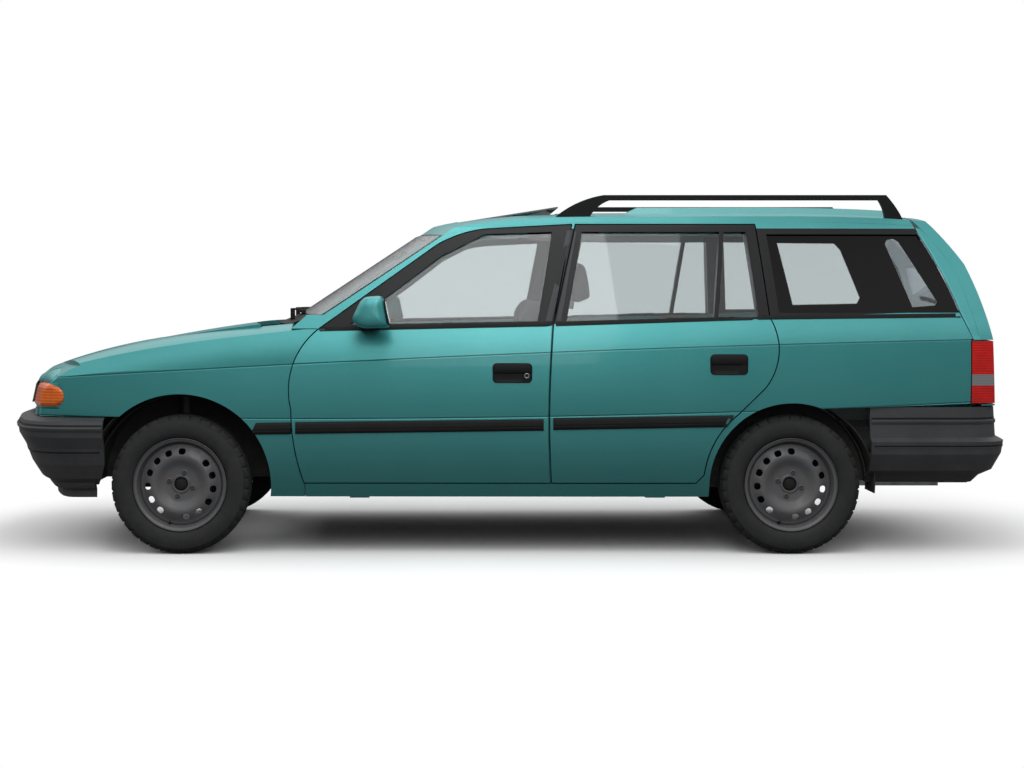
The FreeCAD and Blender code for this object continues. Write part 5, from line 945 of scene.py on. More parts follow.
@dataclass
class RoadWheel:
    """A bare pressed-steel wheel with its tyre, drum and bolts.

    Lengths are in metres and are measured from the wheel's centre plane and axis.
    """

    node: str
    side: Side
    axle_y: float
    across: float = 0.712
    steps_each: int = 6
    rise_steps: int = 3
    sectors: int = 15
    turn: float = 2.4
    shut: tuple[int, ...] = (1, 8)
    band: Flat = (0.118, 0.154)
    vent_radius: float = 0.1355
    vent_half: Flat = (0.0138, 0.0122)
    vent_rings: Point = (1.28, 1.06, 1.0)
    vent_depths: tuple[float, ...] = (0.0, 0.0, 0.0008, 0.0040)
    square: float = 2.6
    bolt_circle: float = 0.050
    bolt_turn: float = 16.0
    sheet: float = 0.0035
    face: Line = ((0.0285, 0.024), (0.0285, 0.040), (0.0305, 0.0425), (0.0355, 0.0425), (0.040, 0.0385),
                  (0.068, 0.038), (0.080, 0.0415), (0.095, 0.0525), (0.107, 0.0578), (0.118, 0.0585),
                  (0.127, 0.0565), (0.141, 0.0485), (0.154, 0.0405), (0.160, 0.0385), (0.170, 0.0385))
    barrel: Line = ((0.1925, 0.0762), (0.1905, 0.0765), (0.188, 0.0715), (0.179, 0.068), (0.1745, 0.060),
                    (0.1728, 0.042), (0.165, 0.030), (0.165, -0.030), (0.1728, -0.045), (0.1745, -0.060),
                    (0.179, -0.068), (0.188, -0.0715), (0.1905, -0.0765), (0.1925, -0.0762))
    lugs: int = 38
    tread: tuple[Point, ...] = (
        (0.1930, 0.0700, 0), (0.2000, 0.0790, 0), (0.2160, 0.0862, 0), (0.2360, 0.0880, 0),
        (0.2540, 0.0862, 0), (0.2640, 0.0825, 0), (0.2660, 0.0788, 0.3), (0.2780, 0.0725, 1),
        (0.2840, 0.0610, 1), (0.2856, 0.0420, 0.8), (0.2795, 0.0390, 0), (0.2795, 0.0310, 0),
        (0.2860, 0.0280, 0))
    lug_steps: Line = ((0.04, 0.0), (0.78, 0.0), (0.91, 0.0055))
    valve_radius: float = 0.166
    valve_turn: float = math.radians(-164)
    valve_lean: float = 0.30

    @property
    def body(self) -> str:
        """The CAD body that the wheel is."""
        return f"{self.node}_wheel_{self.side.word}"

    def spot(self, radius: float, angle: float, out: float) -> Point:
        """Place a point of the wheel: angle 0 is up and 90 is to the rear."""
        return (self.side.value * (self.across + out), self.axle_y + radius * math.sin(angle),
                AXLE_UP + radius * math.cos(angle))

    @staticmethod
    def bridge(mesh: Mesh, rows: Sequence[Sequence[bmesh.types.BMVert]]) -> None:
        """Make faces between neighbouring rings of points."""
        for row, after in zip(rows, rows[1:]):
            for step in range(len(row)):
                onward = (step + 1) % len(row)
                mesh.faces.new((row[step], row[onward], after[onward], after[step]))

    def height(self, radius: float) -> float:
        """Return how far out the pressed face stands at a radius."""
        for (near, low), (far, high) in zip(self.face, self.face[1:]):
            if near < far and radius <= far:
                return low + (high - low) * max(0.0, radius - near) / (far - near)
        return self.face[-1][1]

    def sector(self, mesh: Mesh, number: int) -> None:
        """Add one sector of the vent band, with its hole unless it is shut."""
        middle = math.radians(self.turn + number * 360 / self.sectors)
        half = math.pi / self.sectors
        low, high = self.band
        steps, rise = self.steps_each, self.rise_steps
        edge = [(low, -half + 2 * half * step / steps) for step in range(steps)]
        edge += [(low + (high - low) * step / rise, half) for step in range(rise)]
        edge += [(high, half - 2 * half * step / steps) for step in range(steps)]
        edge += [(high - (high - low) * step / rise, -half) for step in range(rise)]
        rings = [edge]
        for grow in self.vent_rings:
            ring = []
            for radius, angle in edge:
                way = math.atan2((radius - self.vent_radius) / self.vent_half[1],
                                 angle * self.vent_radius / self.vent_half[0])
                corner = (abs(math.cos(way)) ** self.square
                          + abs(math.sin(way)) ** self.square) ** (-1 / self.square)
                ring.append((self.vent_radius + self.vent_half[1] * grow * corner * math.sin(way),
                             self.vent_half[0] * grow * corner * math.cos(way) / self.vent_radius))
            rings.append(ring)
        rows = []
        for depth, ring in zip(self.vent_depths, rings):
            rows.append([mesh.verts.new(self.spot(radius, middle + angle, self.height(radius) - depth))
                         for radius, angle in ring])
        if number in self.shut:
            rows = rows[:2]
        self.bridge(mesh, rows)
        if number in self.shut:
            mesh.faces.new(rows[-1])

    def rim(self) -> None:
        """Press the disc and roll the barrel."""
        mesh = bmesh.new()
        parts = self.sectors * self.steps_each
        first = math.radians(self.turn) + math.pi / self.sectors
        around = [first + math.tau * step / parts for step in range(parts)]
        low, high = self.band
        inner = [part for part in self.face if part[0] <= low]
        outer = [part for part in self.face if part[0] >= high]
        for profile in (inner, outer, self.barrel):
            self.bridge(mesh, [[mesh.verts.new(self.spot(radius, angle, out)) for angle in around]
                               for radius, out in profile])
        for number in range(self.sectors):
            self.sector(mesh, number)
        bmesh.ops.remove_doubles(mesh, verts=mesh.verts, dist=1e-5)
        piece = make_piece(f"{self.body}_rim_pressing", mesh, Shade.WHEEL, self.body, sheet=self.sheet)
        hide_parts(f"{self.node}_rim_{self.side.word}")

    def tyre(self) -> None:
        """Mould the tyre, with grooves and shoulder lugs."""
        outline = [*self.tread, *((radius, -out, lug) for radius, out, lug in reversed(self.tread))]
        rows = []
        for number in range(self.lugs):
            for share, depth in self.lug_steps:
                angle = (number + share) / self.lugs * math.tau
                rows.append([self.spot(radius - depth * lug, angle,
                                       out - math.copysign(depth * lug * 0.5, out))
                             for radius, out, lug in outline])
        mesh = grid_mesh(rows, round_rows=True, round_columns=True)
        piece = make_piece(f"{self.body}_tyre_moulding", mesh, Shade.TYRE, self.body)
        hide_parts(f"{self.node}_tyre_{self.side.word}")

    def hub(self) -> None:
        """Add the drum behind the vents, the hub's dust cap, the bolts and the valve."""
        axis = Vector((self.side.value, 0, 0))
        centre = self.spot(0.0, 0.0, 0.0)
        make_piece(f"{self.body}_drum", turned(DRUM, centre, axis), Shade.IRON, self.body)
        make_piece(f"{self.body}_dust_cap", turned(DUST_CAP, centre, axis, 32), Shade.RUBBER, self.body)
        for number in range(4):
            angle = math.radians(self.bolt_turn + 90 * number)
            seat = self.spot(self.bolt_circle, angle, 0.0)
            make_piece(f"{self.body}_bolt_seat_{number}", turned(BOLT_SEAT, seat, axis, 24), Shade.WHEEL,
                       self.body)
            make_piece(f"{self.body}_bolt_{number}", turned(BOLT, seat, axis, 6), Shade.IRON, self.body,
                       smooth=False, bevel=0.0005)
        foot = self.spot(self.valve_radius, self.valve_turn, 0.040)
        way = Vector((self.side.value, -self.valve_lean * math.sin(self.valve_turn),
                      -self.valve_lean * math.cos(self.valve_turn))).normalized()
        make_piece(f"{self.body}_valve", turned(VALVE, foot, way, 16), Shade.RUBBER, self.body)

    def build(self) -> None:
        """Build the whole wheel."""
        self.rim()
        self.tyre()
        self.hub()


@dataclass
class DoorMirror:
    """A mirror housing in body colour with its glass and black foot, on each front door."""

    body: str = "front_door_left"
    outline: Line = ((-0.569, 1.060), (-0.530, 1.064), (-0.497, 1.059), (-0.481, 1.000), (-0.471, 0.948),
                     (-0.480, 0.936), (-0.535, 0.933), (-0.588, 0.936), (-0.622, 0.966), (-0.606, 1.010),
                     (-0.589, 1.042))
    centre: Flat = (-0.545, 0.998)
    sections: Line = ((0.851, 0.62), (0.853, 0.86), (0.865, 0.96), (0.895, 1.0), (0.935, 0.995),
                      (0.962, 0.94), (0.976, 0.82), (0.983, 0.60), (0.985, 0.30))
    glass: Line = ((0.866, 0.951), (0.968, 0.951), (0.972, 0.975), (0.966, 1.030), (0.955, 1.043),
                   (0.872, 1.046), (0.862, 1.035), (0.860, 0.960))
    glass_at: Point = (0.916, -0.480, 0.998)
    glass_lean: float = 0.20

    def build(self) -> None:
        """Build housing, glass and foot."""
        loop = curved([(*point, 0.0) for point in (*self.outline, self.outline[0])], 3)[:-1]
        rows = [[(across, self.centre[0] + (spot.x - self.centre[0]) * grow,
                  self.centre[1] + (spot.y - self.centre[1]) * grow) for spot in loop]
                for across, grow in self.sections]
        for side, housing in zip(Side, make_pair("mirror_housing", tube(rows), Shade.PAINT, self.body,
                                                 subdivide=1)):
            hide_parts(f"door_mirror_{side.word}")
        mid, along, rise = self.glass_at
        for name, grow, lift, shade in (("rim", 1.05, 0.0012, Shade.RUBBER),
                                        ("glass", 0.96, 0.0022, Shade.MIRROR)):
            front = [[(mid + (across - mid) * grow, along + (rise - up) * self.glass_lean + lift - back,
                       rise + (up - rise) * grow) for across, up in self.glass] for back in (0.004, 0.0)]
            make_pair(f"mirror_{name}", tube(front), shade, self.body, bevel=0.0008)
        make_pair("mirror_foot", block((0.780, -0.600, 0.934), (0.862, -0.512, 0.972), 0.9), Shade.RUBBER,
                  self.body, bevel=0.008)
        make_pair("mirror_foot_pad", block((0.772, -0.592, 0.920), (0.845, -0.536, 0.940)), Shade.RUBBER,
                  self.body, bevel=0.006)


@dataclass
class Ribbon:
    """A strip that lies on the body side between two lines of the photograph."""

    name: str
    body: str
    top: tuple[Flat, Flat]
    bottom: tuple[Flat, Flat]
    shade: Shade = Shade.RUBBER
    profile: Line = ((0.0, -0.002), (0.0, 0.0022), (0.2, 0.003), (0.8, 0.003), (1.0, 0.0022), (1.0, -0.002))
    steps: int = 40

    def build(self, skin: Skin) -> None:
        """Lay the ribbon on both sides of the car."""
        rows = []
        last: Hit | None = None
        for step in range(self.steps + 1):
            high, low = (Vector(start).lerp(Vector(end), step / self.steps)
                         for start, end in (self.top, self.bottom))
            row = []
            for share, out in self.profile:
                found = skin.seen(high.lerp(low, share)) or last
                if found:
                    last = found
                    row.append(tuple(found[0] + found[1] * out))
            if len(row) == len(self.profile):
                rows.append(row)
        make_pair(self.name, tube(rows), self.shade, self.body)


FLAT_STRIP: Line = ((0.0, -0.002), (0.02, 0.0012), (0.06, 0.0018), (0.94, 0.0018), (0.98, 0.0012),
                    (1.0, -0.002))
MOULDING: Line = ((0.0, -0.002), (0.02, 0.007), (0.08, 0.0105), (0.2, 0.012), (0.50, 0.0125), (0.58, 0.0125),
                  (0.62, 0.0105), (0.68, 0.0105), (0.72, 0.0135), (0.84, 0.0125), (0.95, 0.009), (1.0, 0.006),
                  (1.0, -0.002))
RIBBONS: tuple[Ribbon, ...] = (
    Ribbon("belt_strip_front", "front_door_left", ((319.5, 327.2), (552.0, 322.2)),
           ((319.5, 331.2), (552.0, 326.3))),
    Ribbon("belt_strip_rear", "rear_door_left", ((555.8, 322.1), (753.0, 315.8)),
           ((555.8, 326.2), (753.0, 319.9))),
    Ribbon("belt_strip_quarter", "shell", ((757.5, 315.6), (960.5, 313.4)), ((757.5, 319.7), (960.5, 317.4))),
    Ribbon("moulding_wing", "shell", ((256.0, 422.8), (291.0, 422.2)), ((250.5, 434.5), (291.0, 434.0)),
           profile=MOULDING),
    Ribbon("moulding_front_door", "front_door_left", ((295.4, 422.0), (543.6, 419.0)),
           ((295.4, 433.8), (543.6, 430.6)), profile=MOULDING),
    Ribbon("moulding_rear_door", "rear_door_left", ((549.2, 418.0), (734.0, 415.2)),
           ((549.2, 430.0), (727.0, 427.0)), profile=MOULDING),
    Ribbon("pillar_strip_front", "front_door_left", ((567.0, 230.5), (545.5, 321.0)),
           ((572.2, 230.5), (552.2, 321.0)), Shade.TRIM, FLAT_STRIP, 24),
    Ribbon("pillar_strip_rear", "rear_door_left", ((574.6, 231.5), (556.2, 321.0)),
           ((576.4, 231.5), (561.4, 321.0)), Shade.TRIM, FLAT_STRIP, 24),
)


LOCK_RING: Line = ((0.002, 0.0105), (0.0075, 0.0105), (0.0085, 0.0092), (0.0070, 0.0070), (0.005, 0.006))
LOCK_CORE: Line = ((0.003, 0.0066), (0.0068, 0.0064), (0.0072, 0.0050), (0.0072, 0.001))


@dataclass
class PullHandle:
    """A flush pull handle: a plate with a flap above a hand bowl."""

    name: str
    body: str
    left_top: Flat
    right_bottom: Flat
    locked: bool
    columns: int = 44
    rows: int = 30
    corner: float = 0.23
    lock_at: Flat = (0.856, 0.627)
    rim: float = 0.0045
    rim_share: float = 0.045
    floor: float = 0.0006
    flap_foot: float = 0.50
    slot_foot: float = 0.56
    slot_across: Flat = (0.04, 0.78)
    bowl_at: Flat = (0.41, 0.70)
    bowl_half: Flat = (0.36, 0.22)
    bowl_depth: float = 0.0042

    def height(self, across: float, down: float) -> float:
        """Return how far the handle stands out at shares of its width and height."""
        edge = min(1.0, min(across, 1 - across, 2.2 * down, 2.2 * (1 - down)) / self.rim_share)
        rim = self.rim * edge ** 0.5
        if self.slot_across[0] < across < self.slot_across[1] and self.flap_foot < down < self.slot_foot:
            return self.floor
        if down <= self.flap_foot:
            bulge = math.sin(math.pi * down / self.flap_foot) ** 0.6 if 0.0 < down < self.flap_foot else 0.0
            return rim + self.rim * bulge * edge
        wide = max(0.0, 1 - ((across - self.bowl_at[0]) / self.bowl_half[0]) ** 4)
        bowl = wide * max(0.0, 1 - ((down - self.bowl_at[1]) / self.bowl_half[1]) ** 2)
        return max(self.floor, rim - self.bowl_depth * bowl ** 0.5) if bowl > 0 else rim

    def build(self, skin: Skin) -> None:
        """Shape the handle on both sides."""
        (left, top), (right, bottom) = self.left_top, self.right_bottom
        grid = []
        for row in range(self.rows + 1):
            down = row / self.rows
            near = min(down, 1 - down) / self.corner
            inset = (1 - math.sqrt(max(0.0, 1 - (1 - min(1.0, near)) ** 2))) * self.corner * (bottom - top)
            line = []
            for column in range(self.columns + 1):
                across = column / self.columns
                spot = Vector((left + inset + (right - left - 2 * inset) * across,
                               top + (bottom - top) * down))
                found = skin.seen(spot)
                if found is None:
                    continue
                border = row in (0, self.rows) or column in (0, self.columns)
                line.append(tuple(found[0] + found[1] * (-0.002 if border else self.height(across, down))))
            if len(line) == self.columns + 1:
                grid.append(line)
        make_pair(self.name, grid_mesh(grid), Shade.RUBBER, self.body)
        if self.locked:
            self.lock(skin)

    def lock(self, skin: Skin) -> None:
        """Set the lock barrel near the handle's rear end."""
        (left, top), (right, bottom) = self.left_top, self.right_bottom
        across, down = self.lock_at
        found = skin.seen((left + across * (right - left), top + down * (bottom - top)))
        if found is None:
            return
        for part, profile, shade in (("ring", LOCK_RING, Shade.STEEL), ("core", LOCK_CORE, Shade.RUBBER)):
            make_pair(f"lock_{part}", turned(profile, tuple(found[0]), found[1], 28), shade, self.body)


@dataclass
class BodySide:
    """Everything that is fixed to the sides of the body and the doors."""

    handles: tuple[PullHandle, ...] = (
        PullHandle("handle_front", "front_door_left", (492.2, 362.9), (532.6, 383.3), True),
        PullHandle("handle_rear", "rear_door_left", (710.0, 354.0), (748.6, 375.3), False),
    )
    skins: tuple[str, ...] = ("front_wing_left", "front_door_left", "rear_door_left", "side_frame_left",
                              "quarter_window_left")

    def build(self) -> None:
        """Lay ribbons and handles on the skin."""
        skin = Skin(*self.skins)
        for ribbon in RIBBONS:
            ribbon.build(skin)
        for handle in self.handles:
            handle.build(skin)


@dataclass
class Bumper:
    """The lines and lips that run round one bumper."""

    name: str
    centre: Flat
    reach: float
    half_turn: float
    forward: float
    bands: tuple[tuple[str, float, Line, Shade], ...]
    lowest: float
    farthest: float = 2.1385
    steps: int = 110

    def build(self) -> None:
        """Wrap each band round the bumper's skin, and sink it where it would leave the car's box."""
        skin = Skin(self.name)
        for name, height, profile, shade in self.bands:
            rows = []
            for step in range(self.steps + 1):
                angle = math.radians(self.half_turn) * (2 * step / self.steps - 1)
                way = Vector((math.sin(angle), self.forward * math.cos(angle), 0))
                row = []
                for rise, out in profile:
                    start = Vector((*self.centre, max(height + rise, self.lowest))) + way * self.reach
                    found = skin.cast(start, -way)
                    if found:
                        room = self.farthest - self.forward * found[0].y
                        spot = found[0] + found[1] * min(out, room)
                        row.append((spot.x, spot.y, height + rise if height + rise < self.lowest else spot.z))
                if len(row) == len(profile):
                    rows.append(row)
            if len(rows) > 2:
                make_piece(f"{self.name}_{name}", tube(rows), shade, "shell")


RIB: Line = ((0.009, -0.002), (0.008, 0.003), (0.005, 0.0055), (-0.004, 0.0055), (-0.008, 0.003),
             (-0.009, -0.002))
GROOVE: Line = ((0.004, -0.001), (0.0035, 0.0012), (-0.0035, 0.0012), (-0.004, -0.001))
BRIGHT: Line = ((0.0022, -0.001), (0.0018, 0.002), (-0.0018, 0.002), (-0.0022, -0.001))
AIR_DAM: Line = ((0.004, -0.030), (0.003, -0.003), (-0.010, -0.008), (-0.024, -0.030), (-0.028, -0.072),
                 (-0.060, -0.078), (-0.064, -0.105), (-0.030, -0.110))
BUMPERS: tuple[Bumper, ...] = (
    Bumper("front_bumper", (0.0, -1.45), 2.0, 84.0, -1.0, (
        ("groove", 0.531, GROOVE, Shade.RUBBER), ("rib", 0.516, RIB, Shade.PLASTIC),
        ("split", 0.418, GROOVE, Shade.RUBBER), ("split_edge", 0.4125, BRIGHT, Shade.TRIM),
        ("air_dam", 0.285, AIR_DAM, Shade.PLASTIC)), 0.288),
    Bumper("rear_bumper", (0.0, 1.40), 2.0, 84.0, 1.0, (
        ("groove", 0.560, GROOVE, Shade.RUBBER), ("rib", 0.546, RIB, Shade.PLASTIC),
        ("split", 0.448, GROOVE, Shade.RUBBER), ("split_edge", 0.4425, BRIGHT, Shade.TRIM)), 0.300),
)


@dataclass
class FrontLamps:
    """Reflectors and bulbs of the head lamps, and the indicators."""

    centre: Point = (0.452, -1.956, 0.651)
    bowl: Line = ((0.0, 0.048), (0.004, 0.047), (-0.001, 0.044), (-0.008, 0.034), (-0.012, 0.020),
                  (-0.013, 0.006))
    bulb: Line = ((-0.006, 0.007), (0.002, 0.007), (0.006, 0.004), (0.0075, 0.001))

    def build(self) -> None:
        """Set one bowl and one bulb behind each lens."""
        forward = Vector((0, -1, 0))
        for side in Side:
            spot = (side.value * self.centre[0], *self.centre[1:])
            make_piece(f"lamp_bowl_{side.word}", turned(self.bowl, spot, forward, 40), Shade.REFLECTOR,
                       "shell")
            make_piece(f"lamp_bulb_{side.word}", turned(self.bulb, spot, forward, 20), Shade.PLATE, "shell")
        TurnLamp().build()


@dataclass
class TurnLamp:
    """An amber lens that wraps round the front corner."""

    centre: Flat = (0.420, -1.640)
    reach: float = 1.2
    turn: Flat = (25.0, 61.5)
    foot: float = 0.604
    crest: float = 0.704
    tip: Flat = (0.648, 0.655)
    top_from: float = 0.62
    foot_from: float = 0.8
    solid: Flat = (0.602, 0.700)
    swell: float = 0.009
    across_steps: int = 34
    up_steps: int = 12

    def build(self) -> None:
        """Wrap the lens on each side, with its dark edge and the paint behind it."""
        skin = Skin("indicators", "front_wing_left", "head_lamps", "front_panel")
        for name, grow, out, shade in (("surround", 0.004, 0.0, Shade.PAINT),
                                       ("edge", 0.0025, 0.0012, Shade.RUBBER),
                                       ("lens", 0.0, self.swell, Shade.AMBER)):
            rows = []
            for step in range(self.across_steps + 1):
                share = step / self.across_steps
                angle = math.radians(self.turn[0] + (self.turn[1] - self.turn[0]) * share)
                way = Vector((math.sin(angle), -math.cos(angle), 0))
                whole = shade is Shade.PAINT
                taper = 0.0 if whole else max(0.0, (share - self.top_from) / (1 - self.top_from))
                top = (self.crest + grow
                       - (self.crest - self.tip[1]) * (1 - math.sqrt(max(0.0, 1 - taper ** 2))))
                sweep = 0.0 if whole else max(0.0, (share - self.foot_from) / (1 - self.foot_from))
                low = self.foot - grow + (self.tip[0] - self.foot) * (1 - math.sqrt(max(0.0, 1 - sweep ** 2)))
                row = []
                for rise in range(self.up_steps + 1):
                    level = low + (top - low) * rise / self.up_steps
                    within = min(max(level, self.solid[0]), self.solid[1])
                    found = skin.cast(Vector((*self.centre, within)) + way * self.reach, -way)
                    if found:
                        edge = min(rise, self.up_steps - rise, 2 * step, 2 * (self.across_steps - step)) / 2
                        spot = found[0] + way * (out * min(1.0, 0.2 + edge) if edge else -0.003)
                        row.append((spot.x, spot.y, level))
                if len(row) == self.up_steps + 1:
                    rows.append(row)
            pieces = make_pair(f"turn_lamp_{name}", grid_mesh(rows), shade, "shell")
        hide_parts("indicators")


@dataclass
class ArchLiner:
    """A dark liner inside one wheel arch, between the wheelhouse and the outer skin."""

    name: str
    axle_y: float
    radius: float
    turn: Flat
    across: Flat = (0.600, 0.775)
    steps: int = 40
    wall: float = 0.003

    def build(self) -> None:
        """Bend the liner on each side."""
        near, far = self.across
        rows = []
        for step in range(self.steps + 1):
            angle = math.radians(self.turn[0] + (self.turn[1] - self.turn[0]) * step / self.steps)
            rows.append([(across, self.axle_y + (self.radius + wall) * math.sin(angle),
                          AXLE_UP + (self.radius + wall) * math.cos(angle))
                         for across, wall in ((near, 0.0), (far, 0.0), (far, self.wall), (near, self.wall))])
        make_pair(self.name, tube(rows), Shade.UNDERSIDE, "shell")


LINERS: tuple[ArchLiner, ...] = (
    ArchLiner("front_arch_liner", FRONT_AXLE, 0.385, (-78.0, 88.0)),
    ArchLiner("rear_arch_liner", REAR_AXLE, 0.346, (-85.0, 96.0)),
)


@dataclass
class Brow:
    """Sheet in body colour that closes a gap, above a lamp or ahead of the tailgate.

    The edges are points across, along and up, on the left-hand side.
    """

    name: str
    body: str
    high: tuple[Point, ...]
    low: tuple[Point, ...]
    swell: float = 0.004
    bend: Flat = (0.22, 0.1)
    steps: int = 8
    wall: float = 0.002

    def build(self) -> None:
        """Roll the sheet from the upper edge to the lower one, on each side."""
        tops, feet = curved(self.high, 6), curved(self.low, 6)
        rows = []
        for top, foot in zip(tops, feet):
            bend = Vector((foot.x, foot.y + self.bend[0] * (top.y - foot.y) - self.swell,
                           top.z + self.bend[1] * (foot.z - top.z)))
            shares = [step / self.steps for step in range(self.steps + 1)]
            rows.append([tuple(top * (1 - share) ** 2 + bend * 2 * share * (1 - share) + foot * share ** 2)
                         for share in shares])
        make_pair(self.name, grid_mesh(rows), Shade.PAINT, self.body, sheet=self.wall)


CHEEK: tuple[tuple[float, float, float, float], ...] = (
    (0.882, 1.930, 1.960, 0.789), (0.900, 1.922, 1.953, 0.783), (0.940, 1.906, 1.945, 0.771),
    (0.970, 1.894, 1.941, 0.759), (1.000, 1.882, 1.933, 0.748), (1.040, 1.870, 1.921, 0.734),
    (1.080, 1.854, 1.913, 0.719), (1.120, 1.838, 1.897, 0.705), (1.160, 1.822, 1.885, 0.689),
    (1.200, 1.802, 1.865, 0.673), (1.240, 1.786, 1.841, 0.656), (1.280, 1.766, 1.813, 0.639),
    (1.320, 1.746, 1.781, 0.621), (1.350, 1.734, 1.757, 0.606),
)
BROWS: tuple[Brow, ...] = (
    Brow("bonnet_brow", "bonnet",
         ((0.300, -2.012, 0.7175), (0.400, -1.981, 0.7265), (0.500, -1.935, 0.7405), (0.550, -1.903, 0.7505),
          (0.608, -1.862, 0.7620)),
         ((0.300, -2.010, 0.7045), (0.400, -1.982, 0.7045), (0.500, -1.979, 0.7045), (0.550, -1.974, 0.7045),
          (0.608, -1.943, 0.7045))),
    Brow("wing_brow", "shell",
         ((0.616, -1.860, 0.7600), (0.640, -1.857, 0.7560), (0.680, -1.850, 0.7500), (0.715, -1.852, 0.7380),
          (0.738, -1.850, 0.7200)),
         ((0.616, -1.941, 0.7035), (0.640, -1.929, 0.7035), (0.680, -1.911, 0.7035), (0.715, -1.893, 0.7035),
          (0.744, -1.862, 0.7035))),
    Brow("tailgate_cheek", "tailgate", tuple((out + 0.003, ahead, level) for level, ahead, _, out in CHEEK),
         tuple((out - 0.0003, behind, level) for level, _, behind, out in CHEEK), swell=0.0),
)


@dataclass
class RearFittings:
    """The tailgate's handle, lock and wiper."""

    body: str = "tailgate"
    ahead: Point = (0, -1, 0)
    behind: float = 4.0
    handle_half: float = 0.150
    handle_up: Flat = (0.845, 0.884)
    lock_up: float = 0.910
    lock: Line = ((0.0, 0.013), (0.018, 0.012), (0.020, 0.009), (0.0185, 0.004))
    arm: tuple[Flat, Flat] = ((0.02, 1.015), (-0.38, 1.050))
    arm_steps: int = 24
    arm_profile: Line = ((0.009, 0.001), (0.006, 0.014), (-0.006, 0.014), (-0.009, 0.001))
    hub_at: Flat = (0.03, 1.012)
    hub: Line = ((-0.004, 0.022), (0.012, 0.022), (0.020, 0.017), (0.022, 0.006))

    def build(self) -> None:
        """Add each fitting to the tailgate."""
        skin = Skin("tailgate", "tailgate_glass")
        self.grip(skin)
        self.wiper(skin)

    def grip(self, skin: Skin) -> None:
        """Fix the handle and, above it, the lock."""
        found = skin.cast((0, self.behind, 0.862), self.ahead)
        if found is None:
            return
        reach, half, (low, high) = found[0].y, self.handle_half, self.handle_up
        make_piece("tailgate_handle", block((-half, reach - 0.004, low), (half, reach + 0.014, high)),
                   Shade.RUBBER, self.body, bevel=0.005)
        make_piece("tailgate_lock", turned(self.lock, (0.0, reach, self.lock_up), Vector((0, 1, 0)), 28),
                   Shade.STEEL, self.body)

    def wiper(self, skin: Skin) -> None:
        """Lay the rear wiper along the foot of the glass."""
        rows = []
        for step in range(self.arm_steps + 1):
            across, height = Vector(self.arm[0]).lerp(Vector(self.arm[1]), step / self.arm_steps)
            row = []
            for rise, out in self.arm_profile:
                found = skin.cast((across, self.behind, height + rise), self.ahead)
                if found:
                    row.append(tuple(found[0] + found[1] * out))
            if len(row) == len(self.arm_profile):
                rows.append(row)
        if len(rows) > 2:
            make_piece("rear_wiper", tube(rows), Shade.RUBBER, self.body)
        found = skin.cast((self.hub_at[0], self.behind, self.hub_at[1]), self.ahead)
        if found:
            make_piece("rear_wiper_hub", turned(self.hub, tuple(found[0]), found[1], 28), Shade.RUBBER,
                       self.body)


@dataclass
class Cushion:
    """One upholstered piece of a seat, filled by a short cloth simulation.

    The outline is given by its middle, its half sizes and its lean, in metres and degrees.
    """

    name: str
    middle: Point
    half: Point
    lean: float = 0.0
    bolster: float = 0.0
    seams: int = 3
    steps: int = 26
    ring: int = 40
    square: int = 5
    bolster_from: float = 0.62
    seam_depth: float = 0.10
    seam_width: float = 0.004
    pressure: float = 3.0
    stiffness: float = 18.0
    bending: float = 2.5
    limit: float = 0.012
    frames: int = 12

    def mesh(self) -> Mesh:
        """Make the cut cloth: a soft box with side bolsters and sewn channels."""
        rows = []
        turn = Matrix.Rotation(math.radians(self.lean), 3, "X")
        for step in range(self.steps + 1):
            share = 2 * step / self.steps - 1
            swell = max(0.02, 1 - abs(share) ** 9) ** 0.42
            row = []
            for number in range(self.ring):
                angle = math.tau * number / self.ring
                across, deep = math.cos(angle), math.sin(angle)
                grow = swell / (abs(across) ** self.square + abs(deep) ** self.square) ** (1 / self.square)
                across, deep = across * grow, deep * grow
                if deep > 0:
                    deep += self.bolster * max(0.0, abs(across) - self.bolster_from) * 2.2
                    deep -= self.seam_depth * math.exp(
                        -((share * self.seams * 0.5) % 1 - 0.5) ** 2 / self.seam_width)
                spot = turn @ Vector((across * self.half[0], share * self.half[1], deep * self.half[2]))
                row.append(tuple(Vector(self.middle) + spot))
            rows.append(row)
        return tube(rows)

    def build(self) -> bpy.types.Object:
        """Make the piece and let the cloth take its fill."""
        piece = make_piece(self.name, self.mesh(), Shade.CLOTH, "shell")
        self.fill(piece)
        modify(piece, "finer", "SUBSURF", levels=1, render_levels=1)
        return piece

    def fill(self, piece: bpy.types.Object) -> None:
        """Run the cloth for a few frames under pressure, keep the moves small and apply them."""
        bpy.context.view_layer.objects.active = piece
        rest = [vert.co.copy() for vert in piece.data.vertices]
        cloth = modify(piece, "cloth", "CLOTH")
        settings = cloth.settings
        settings.quality = 5
        settings.use_pressure = True
        settings.uniform_pressure_force = self.pressure
        settings.tension_stiffness = settings.compression_stiffness = self.stiffness
        settings.bending_stiffness = self.bending
        settings.effector_weights.gravity = 0.0
        cloth.point_cache.frame_start = 1
        cloth.point_cache.frame_end = self.frames
        scene = bpy.context.scene
        for number in range(1, self.frames + 1):
            scene.frame_set(number)
        moved = piece.evaluated_get(bpy.context.evaluated_depsgraph_get()).data
        places = [vert.co.copy() for vert in moved.vertices]
        piece.modifiers.remove(cloth)
        scene.frame_set(1)
        for vert, start, end in zip(piece.data.vertices, rest, places):
            move = end - start
            vert.co = start + (move if move.length <= self.limit else move * (self.limit / move.length))
        LOG.info("filled %s", self.name)


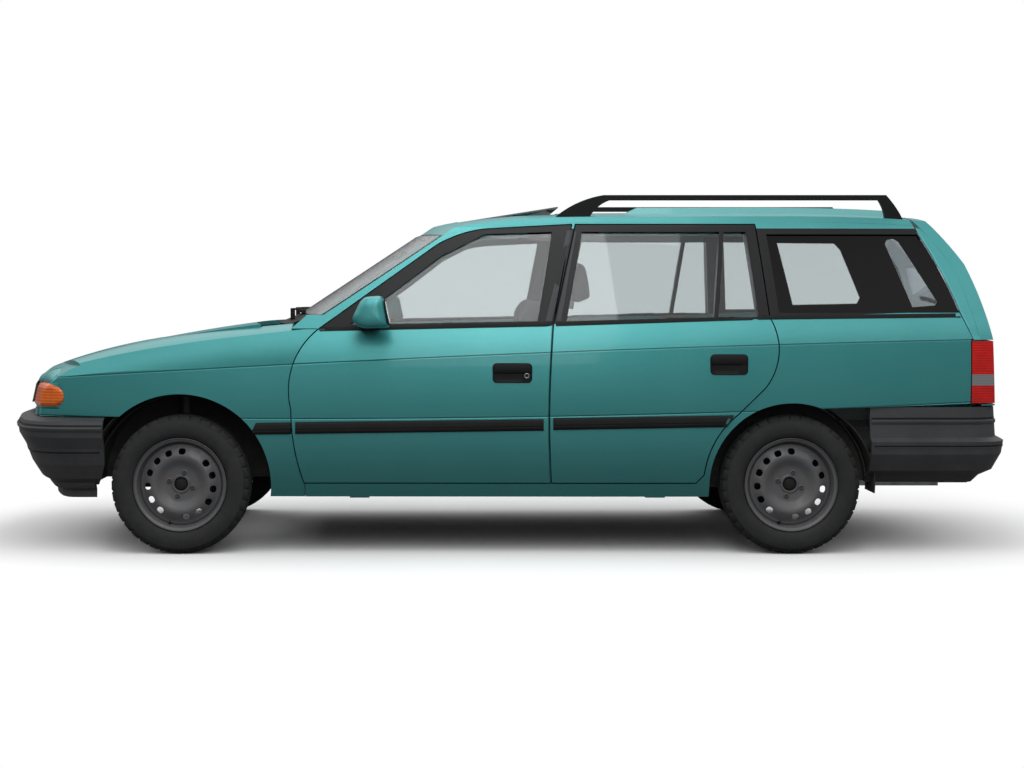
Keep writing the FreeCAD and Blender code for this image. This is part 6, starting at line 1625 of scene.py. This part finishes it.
@dataclass
class Cabin:
    """Seats, headrests and the inner mirror."""

    seat_across: float = 0.34
    rod: Line = ((0.0, 0.006), (0.11, 0.006))

    def front_seat(self, side: Side) -> None:
        """Build one front seat: cushion, back and headrest on its two rods."""
        across = side.value * self.seat_across
        word = side.word
        low = Cushion(f"seat_cushion_{word}", (across, -0.09, 0.445), (0.235, 0.255, 0.085), 6.0,
                      0.45).build()
        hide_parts("front_seats")
        Cushion(f"seat_back_{word}", (across, 0.215, 0.765), (0.225, 0.300, 0.070), 108.0, 0.5, 4).build()
        Cushion(f"headrest_{word}", (across, 0.322, 1.120), (0.130, 0.085, 0.045), 100.0, 0.0, 1).build()
        lean = Vector((0, 0.16, 1)).normalized()
        for letter, offset in (("a", -0.055), ("b", 0.055)):
            rod = turned(self.rod, (across + offset, 0.300, 1.005), lean, 12)
            make_piece(f"headrest_rod_{word}_{letter}", rod, Shade.STEEL, "shell")
        base = block((across - 0.21, -0.28, 0.262), (across + 0.21, 0.16, 0.372), 0.94)
        make_piece(f"seat_base_{word}", base, Shade.TRIM, "shell", bevel=0.01)

    def build(self) -> None:
        """Build the whole cabin."""
        for side in Side:
            self.front_seat(side)
        bench = Cushion("rear_bench_cushion", (0.0, 0.600, 0.435), (0.545, 0.240, 0.080), 5.0, 0.0, 2).build()
        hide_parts("rear_seat")
        Cushion("rear_bench_back", (0.0, 0.850, 0.730), (0.545, 0.270, 0.062), 110.0, 0.0, 3).build()
        glass = Skin("windscreen").cast((0.0, -2.5, 1.245), (0, 1, 0))
        if glass:
            reach = glass[0].y
            stem = block((-0.008, reach + 0.006, 1.225), (0.008, reach + 0.060, 1.241))
            make_piece("inner_mirror_stem", stem, Shade.RUBBER, "shell", bevel=0.002)
            head = block((-0.115, reach + 0.055, 1.195), (0.115, reach + 0.085, 1.262))
            make_piece("inner_mirror", head, Shade.RUBBER, "shell", bevel=0.012)


def main() -> None:
    """Build every sub-assembly in order."""
    STAGE.build()
    dress_nodes()
    for side in Side:
        RoadWheel("front", side, FRONT_AXLE).build()
        RoadWheel("rear", side, REAR_AXLE).build()
    DoorMirror().build()
    BodySide().build()
    for bumper in BUMPERS:
        bumper.build()
    for part in (*LINERS, *BROWS):
        part.build()
    FrontLamps().build()
    RearFittings().build()
    Cabin().build()


if __name__ == "__main__":
    logging.basicConfig(level=logging.INFO, format="%(name)s: %(message)s")
    main()
